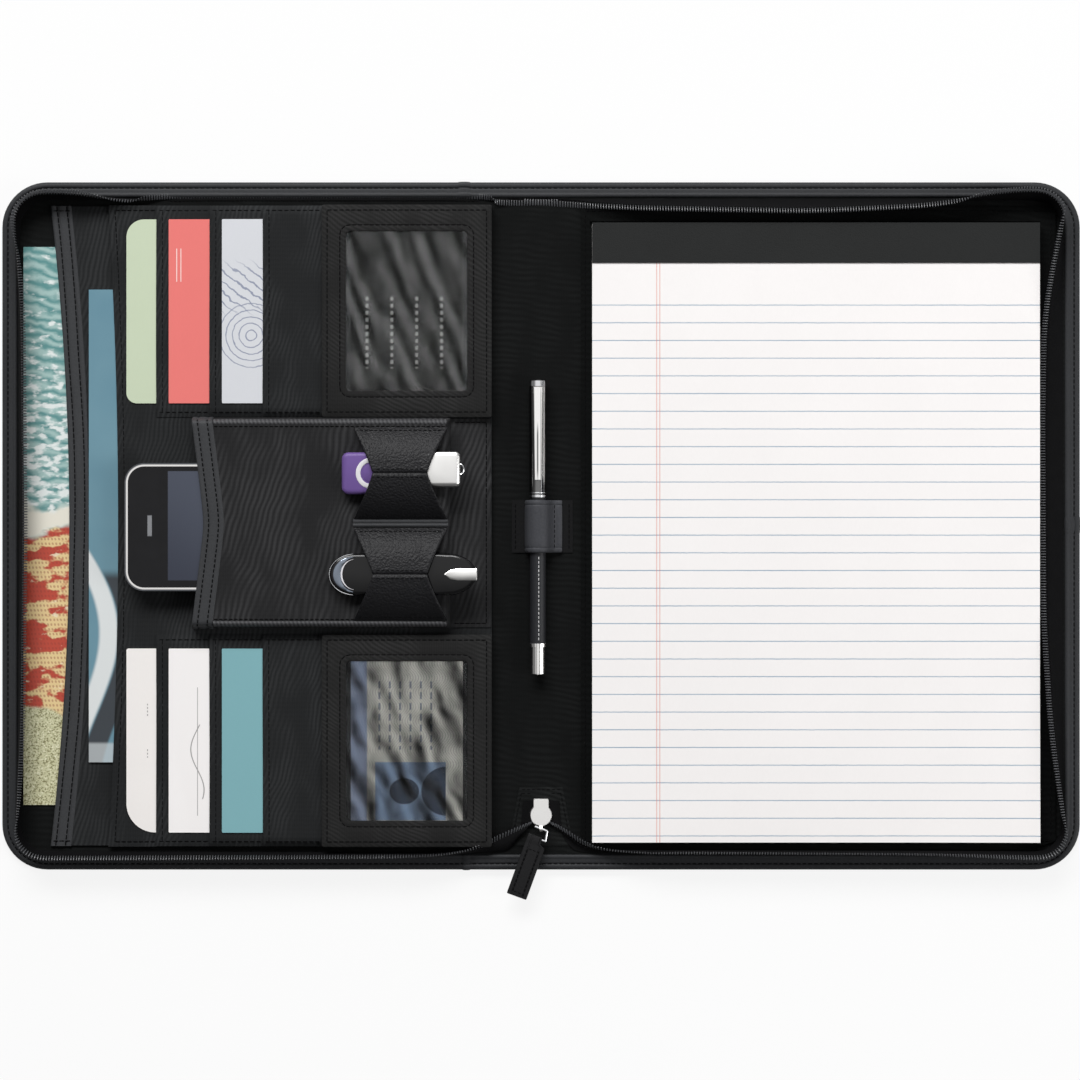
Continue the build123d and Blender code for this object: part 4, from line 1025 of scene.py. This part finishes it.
card.over(marks * (card.y.band(-92.0, -86.0) + card.y.band(-112.0, -108.0)) * 0.8, rgb(60, 58, 58))
dress(card, "card_cream")
card = paper("card_ivory_stock", rgb(252, 249, 248))
card.ground = card.mix((card.x + card.y * 0.2).step(-196.0, -201.0), rgb(250, 247, 246), card.ground)
thin = card.x.band(-166.1, -165.8, 0.1) * card.y.band(-140.0, -78.0)
curl = (card.x + 166.0 + (card.y * 0.16).math("SINE") * 3.2).band(-0.25, 0.25) * card.y.band(-132.0, -96.0)
card.over((thin + curl).capped() * 0.75, rgb(84, 82, 84))
dress(card, "card_ivory")

card = Paint("window_card_dark_stock", 0.35, Specular_IOR_Level=0.1)
x, y = card.x, card.y
fine = (x * 0.3 + y + (x * 0.2).math("SINE") * 3.0).rule(2.4, 0.5)
card.ground = card.mix(fine * 0.4 + card.noise(12.0, 3.0) * 0.6, rgb(8, 8, 8), rgb(26, 25, 24))
card.over(x.band(-78.0, -73.0, 0.3) * 0.9, rgb(6, 6, 6))
bars = x.rule(12.0, 1.4, -84.0) * y.band(76.0, 112.0) * y.wave(3.4).step(0.3, 0.6)
card.over(bars * 0.6, rgb(130, 130, 128))
dress(card, "window_card_dark")
card = Paint("window_card_pale_stock", 0.4, Specular_IOR_Level=0.12)
x, y = card.x, card.y
fine = (x + (y * 0.45).math("SINE") * 2.0).rule(1.3, 0.3)
card.ground = card.mix(fine * 0.5 + card.noise(10.0, 3.0) * 0.5, rgb(166, 163, 155), rgb(100, 102, 101))
card.over(x.band(-92.0, -84.0, 0.4) * 0.7, rgb(74, 92, 126))
box = x.band(-80.0, -46.0, 0.2) * y.band(-142.0, -114.0, 0.2)
card.over(box * 0.85, rgb(84, 106, 134))
head = (((x + 66.0) * 0.14).square() + ((y + 128.0) * 0.16).square()).step(1.06, 0.94)
chest = (((x + 46.0) * 0.085).square() + ((y + 128.0) * 0.085).square()).step(1.06, 0.94)
card.over((head + chest).capped() * box, rgb(42, 50, 64))
lines = x.rule(5.0, 1.0, -78.0) * x.band(-80.0, -52.0) * y.band(-108.0, -74.0) * y.wave(5.2).step(0.15, 0.4)
card.over(lines * 0.7, rgb(58, 68, 88))
dress(card, "window_card_pale")

# Magazine and brochure: abstract print in the photograph's colours
page = Paint("magazine_print", 0.32, Specular_IOR_Level=0.5)
x, y = page.x, page.y
drift = page.noise(26.0, 3.0)
ripples = (y + x * 0.15 + page.noise(9.0, 4.0, (1.6, 1, 1)) * 13.0).wave(5.2)
water = page.mix(ripples * 0.75 + drift * 0.25, rgb(70, 132, 132), rgb(172, 200, 196))
spray = page.noise(3.0, 4.0, (2, 1, 1)) + y.step(36.0, 118.0) * -0.1
water = page.mix(spray.step(0.45, 0.6), water, rgb(228, 234, 232))
hatch = (x + y * 0.2 + page.noise(3.0) * 0.8).wave(1.7) * y.wave(2.3)
patch = page.noise(6.5, 3.0, (1.8, 1, 1)).step(0.46, 0.54)
warm = page.mix(patch, rgb(184, 70, 52), rgb(228, 202, 148))
warm = page.mix(hatch.step(0.25, 0.6) * 0.5, warm, rgb(150, 58, 46))
warm = page.mix(page.noise(3.2, 3.0, (2, 1, 1)).step(0.62, 0.7) * 0.8, warm, rgb(240, 226, 196))
grit = page.noise(0.8, 3.0)
sand = page.mix(grit.step(0.36, 0.5), rgb(126, 122, 82), rgb(204, 202, 164))
sand = page.mix(grit.step(0.58, 0.68), sand, rgb(234, 232, 208))
shore = y + drift * 36.0
page.ground = page.mix(shore.band(20.0, 30.0, 2.0), water, rgb(232, 228, 214))
page.over(shore.step(21.0, 18.0), page.mix((y + x * 0.3 + drift * 24.0).step(-148.0, -151.0), warm, sand))
dress(page, "magazine")
page = Paint("brochure_print", 0.36, Specular_IOR_Level=0.5)
x, y = page.x, page.y
swoop = x * 0.9 + (y * 0.035).math("SINE") * 14.0 + y * 0.12
page.ground = page.mix(page.noise(30.0), rgb(88, 130, 148), rgb(114, 152, 166))
page.over(swoop.band(-212.0, -204.0, 1.0) * y.step(-6.0, -12.0), rgb(222, 226, 226))
page.over(swoop.band(-203.4, -194.0, 0.8) * y.step(-20.0, -26.0), rgb(48, 54, 60))
page.over(y.step(-104.0, -106.0) * 0.6, rgb(206, 212, 214))
dress(page, "brochure")


# Pad: ruled leaf, the stack under it, its taped head, and the pocket that holds its back
def ruled(name):
    page = paper(name, rgb(249, 246, 245))
    lines = (page.y + page.noise(3.0) * 0.25).rule(8.533, 0.42, 106.6) * page.y.step(110.0, 109.0)
    page.over(lines * (page.noise(40.0) * 0.5 + 0.55), rgb(108, 144, 172))
    margin = page.x.band(55.6, 55.95, 0.14) + page.x.band(57.1, 57.45, 0.14)
    page.over(margin * 0.75, rgb(222, 128, 112))
    return page.colour(page.ground)


PAGE_HALF = 0.06
low, high = box_mm("top_sheet")
leaf = flat_grid(np.linspace(low[0], high[0], 44), np.linspace(low[1], high[1], 60))
right = (leaf[:, :, 0] - low[0]) / (high[0] - low[0])
down = (high[1] - leaf[:, :, 1]) / (high[1] - low[1])
curl = 1.5 * np.clip((right + down - 1.62) / 0.38, 0, 1) ** 2 + 0.7 * np.clip((down - right - 0.72) / 0.28, 0, 1) ** 2
buckle = 0.18 * np.sin(leaf[:, :, 0] * 0.06) * np.sin(leaf[:, :, 1] * 0.045 + 0.5) * np.clip(down * 6, 0, 1)
z = low[2] + 0.12 + np.maximum(buckle, 0) + curl
slab(
    "ruled_leaf", with_z(leaf, z + PAGE_HALF), with_z(leaf, z - PAGE_HALF), ruled("ruled_page"),
    "top_sheet", "top_sheet",
)
STACK = ruled("page_stack")
dress(STACK.bump(STACK.z.wave(0.25), 0.05, 0.8), "pad_sheets")
dress(paper("grey_board", rgb(150, 146, 138)), "pad_backing")
dress(leather("pad_head_cover", rgb(36, 37, 37), 0.5, 0.5), "pad_binding")
SLIT_LEFT, SLIT_RIGHT, SLIT_LOW, SLIT_HIGH = 23.7, 241.6, 143.6, 147.3
xs = np.concatenate([np.linspace(19.3, SLIT_LEFT, 5), np.linspace(30, 235, 30), [SLIT_RIGHT], np.linspace(243, 249, 5)])
ys = np.concatenate([np.linspace(-154.5, 140, 40), [SLIT_LOW, SLIT_HIGH], np.linspace(149.5, 154.5, 4)])
grid = flat_grid(xs, ys)
keep = np.ones((len(ys) - 1, len(xs) - 1), bool)
mid_x, mid_y = (xs[:-1] + xs[1:]) / 2, (ys[:-1] + ys[1:]) / 2
keep[np.ix_((mid_y > SLIT_LOW) & (mid_y < SLIT_HIGH), (mid_x > SLIT_LEFT) & (mid_x < SLIT_RIGHT))] = False
grid[:, :, 1] *= 1 - 0.014 * np.clip((np.abs(xs) - 243) / 6, 0, 1)
soft = 0.1 * np.sin(grid[:, :, 0] * 0.08) * np.sin(grid[:, :, 1] * 0.06)
obj = slab(
    "pad_pocket_cloth", with_z(grid, 3.8 + soft), with_z(grid, 3.55 + soft), SHADED_PAD_CLOTH,
    "back_cover", "pad_pocket", keep=keep,
)
PAD_ROWS = (
    ((21.4, -152), (21.4, 152)), ((21.4, 152.4), (246.5, 152.4)), ((246.6, 150), (246.6, -150)),
    ((21.4, -152.4), (246.5, -152.4)),
)
stitch("pad_pocket_stitches", [at_height(row, 3.95) for row in PAD_ROWS], "back_cover")

# Pen: bright rings, sewn barrel, and the leather loop that holds it
PEN_X, PEN_Z = -1.5, 7.95
for name, low, high, radius in (("lip", 13.7, 15.0, 4.34), ("mid", 15.6, 16.3, 4.32), ("top", 67.2, 70.1, 4.3)):
    rings = []
    for y, r in ((low, radius - 0.25), (low + 0.15, radius), (high - 0.15, radius), (high, radius - 0.25)):
        rings.append([(PEN_X + r * cos(a), y, PEN_Z + r * sin(a)) for a in np.arange(32) * pi / 16])
    sweep(f"pen_{name}_ring", rings, CHROME, "pen_cap")
row = [(-1.1, y, PEN_Z + sqrt(3.8**2 - 0.4**2)) for y in np.linspace(-14.5, -55.4, 20)]
stitch("pen_barrel_stitches", [row], "pen", 2.0, (1.3, 0.45, 0.3), THREAD_WHITE, (0.1, 0, 0.99))

across = np.array([-14.2, -13.9, -12, 0, 12, 14.6, 15.2, 15.4])
plate = flat_grid(across, np.linspace(-12.9, 12.4, 14))
lift = np.interp(across, (-14.2, -13.6, 14.8, 15.4), (-0.3, 0, 0, -0.3))
slab("pen_loop_base", with_z(plate, 3.3 + lift), with_z(plate, 2.75), LEATHER_BASE, "spine", "pen_loop")
rows = [[(x, y, 3.4) for y in (-11.4, 11.0)] for x in (-12.4, 13.6)]
stitch("pen_base_stitches", rows, "spine", 2.4, FINE_STITCH)
# the strap: its inner section across the pen, and how far it is raised at each place along the pen
section = [(-7.0, 3.3), (-6.9, 5.0), (-6.5, 6.8)]
for a in np.radians((168, 150, 130, 110, 90, 70, 50, 32, 16)):
    section.append((PEN_X + 4.7 * cos(a), PEN_Z + 4.7 * sin(a)))
section += [(4.2, 7.0), (5.0, 5.4), (6.0, 4.3), (7.2, 3.9), (8.4, 3.8), (9.3, 3.7), (9.6, 3.4)]
section = np.array(section)
ways = np.gradient(section, axis=0)
ways = unit(np.column_stack([-ways[:, 1], ways[:, 0]]))
STRAP_RISE = (
    (-12.9, 0.35), (-12.7, 0.7), (-12.0, 0.9), (-11.0, 0.9), (-10.5, 0.66), (-10.0, 0.9), (0, 0.95), (9.6, 0.9),
    (10.1, 0.66), (10.6, 0.9), (11.6, 0.9), (12.2, 0.7), (12.4, 0.35),
)
ys = np.concatenate([
    [-12.9, -12.8, -12.3, -11.2, -10.8, -10.5, -10.2, -9.8], np.linspace(-8, 7.6, 9),
    [9.4, 9.8, 10.1, 10.4, 10.8, 11.9, 12.3, 12.4],
])


def strap(rise):
    """Points of the strap, raised that far off its inner section."""
    made = flat_grid(section[:, 0], ys)
    made[:, :, 0] += ways[:, 0] * rise
    made[:, :, 2] = section[:, 1] + ways[:, 1] * rise
    return made


rise = np.interp(ys, *np.array(STRAP_RISE).T)[:, None] * np.ones(len(section))
rise[:, -4] *= 0.75  # pressed in by the seam
top = strap(rise)
obj = slab("pen_loop_strap", top, strap(0.1), LEATHER_LOOP, "spine")
stitch("pen_strap_stitches", [top[4:-4, -5] + (0, 0, 0.05)], "spine", 2.2, (1.6, 0.5, 0.35))


# Studio: white floor that keeps the shadow, soft light from above, straight-down camera
def behind_object(tree):
    """1 for the rays that look at the background directly, in gloss or through glass."""
    path = tree.nodes.new("ShaderNodeLightPath")
    total = path.outputs["Is Camera Ray"]
    for ray in ("Is Glossy Ray", "Is Transmission Ray"):
        total = add_node(tree, "Math", total, path.outputs[ray], operation="MAXIMUM")
    return total


WHITE = (1, 1, 1, 1)
FLOOR_HALF, FLOOR_Z = 4, -0.0006
FLOOR_GLOW = 0.86  # share of plain white in what is seen of the floor directly, in gloss or through glass
corners = [(x * FLOOR_HALF, y * FLOOR_HALF, FLOOR_Z) for x, y in ((-1, -1), (1, -1), (1, 1), (-1, 1))]
floor_mesh = bpy.data.meshes.new("floor")
floor_mesh.from_pydata(corners, [], [(0, 1, 2, 3)])
floor = bpy.data.objects.new("floor", floor_mesh)
scene.collection.objects.link(floor)
floor_mat = bpy.data.materials.new("floor_white")
floor_mat.use_nodes = True
tree = floor_mat.node_tree
matt = tree.nodes["Principled BSDF"]
matt.inputs["Base Color"].default_value = (0.9, 0.9, 0.9, 1)
matt.inputs["Roughness"].default_value = 0.9
share = add_node(tree, "Math", behind_object(tree), FLOOR_GLOW, operation="MULTIPLY")
both = add_node(tree, "MixShader", share, matt.outputs[0], add_node(tree, "Emission", WHITE))
tree.links.new(both, tree.nodes["Material Output"].inputs[0])
floor_mesh.materials.append(floor_mat)

SKY_LIGHT = 0.14
world = bpy.data.worlds.new("studio")
scene.world = world
world.use_nodes = True
tree = world.node_tree
sky = tree.nodes["Background"]
sky.inputs[0].default_value = WHITE
sky.inputs[1].default_value = SKY_LIGHT
# the camera sees plain white; what gloss and glass see falls off towards the foot and the sides
way = add_node(tree, "SeparateXYZ", tree.nodes.new("ShaderNodeTexCoord").outputs["Generated"]).node.outputs
aside = add_node(tree, "Math", way[0], operation="ABSOLUTE")
head = smooth_range(tree, way[1], -0.55, 0.15, 0.12, 1.0)
flank = smooth_range(tree, aside, 0.35, 0.8, 1.0, 0.2)
seen = add_node(tree, "Math", head, flank, operation="MULTIPLY")
camera_ray = tree.nodes.new("ShaderNodeLightPath").outputs["Is Camera Ray"]
white = add_node(tree, "Background", add_node(tree, "Math", seen, camera_ray, operation="MAXIMUM"))
both = add_node(tree, "MixShader", behind_object(tree), sky.outputs[0], white)
tree.links.new(both, tree.nodes["World Output"].inputs[0])

# place, aim, width and height in metres, power
LAMPS = {
    "key_light": ((-0.55, 2.1, 1.8), (-0.03, 0, 0), (2.4, 0.9), 90.0),
    "fill_light": ((1.3, -0.3, 0.8), (0, 0, 0), (0.6, 1.0), 9.0),
}
for name, (place, aim, size, power) in LAMPS.items():
    data = bpy.data.lights.new(name, "AREA")
    data.shape = "RECTANGLE"
    data.size, data.size_y = size
    data.energy = power
    obj = bpy.data.objects.new(name, data)
    obj.location = place
    obj.rotation_euler = (Vector(aim) - Vector(place)).to_track_quat("-Z", "Y").to_euler()
    scene.collection.objects.link(obj)

SENSOR, CAMERA_HIGH, VIEW_WIDE = 36.0, 1.6, 0.5238
view = bpy.data.cameras.new("camera")
view.sensor_width = SENSOR
view.lens = SENSOR * CAMERA_HIGH / VIEW_WIDE
camera = bpy.data.objects.new("camera", view)
camera.location = (-0.0005, -0.0068, CAMERA_HIGH)
scene.collection.objects.link(camera)
scene.camera = camera
scene.view_settings.view_transform = "Standard"
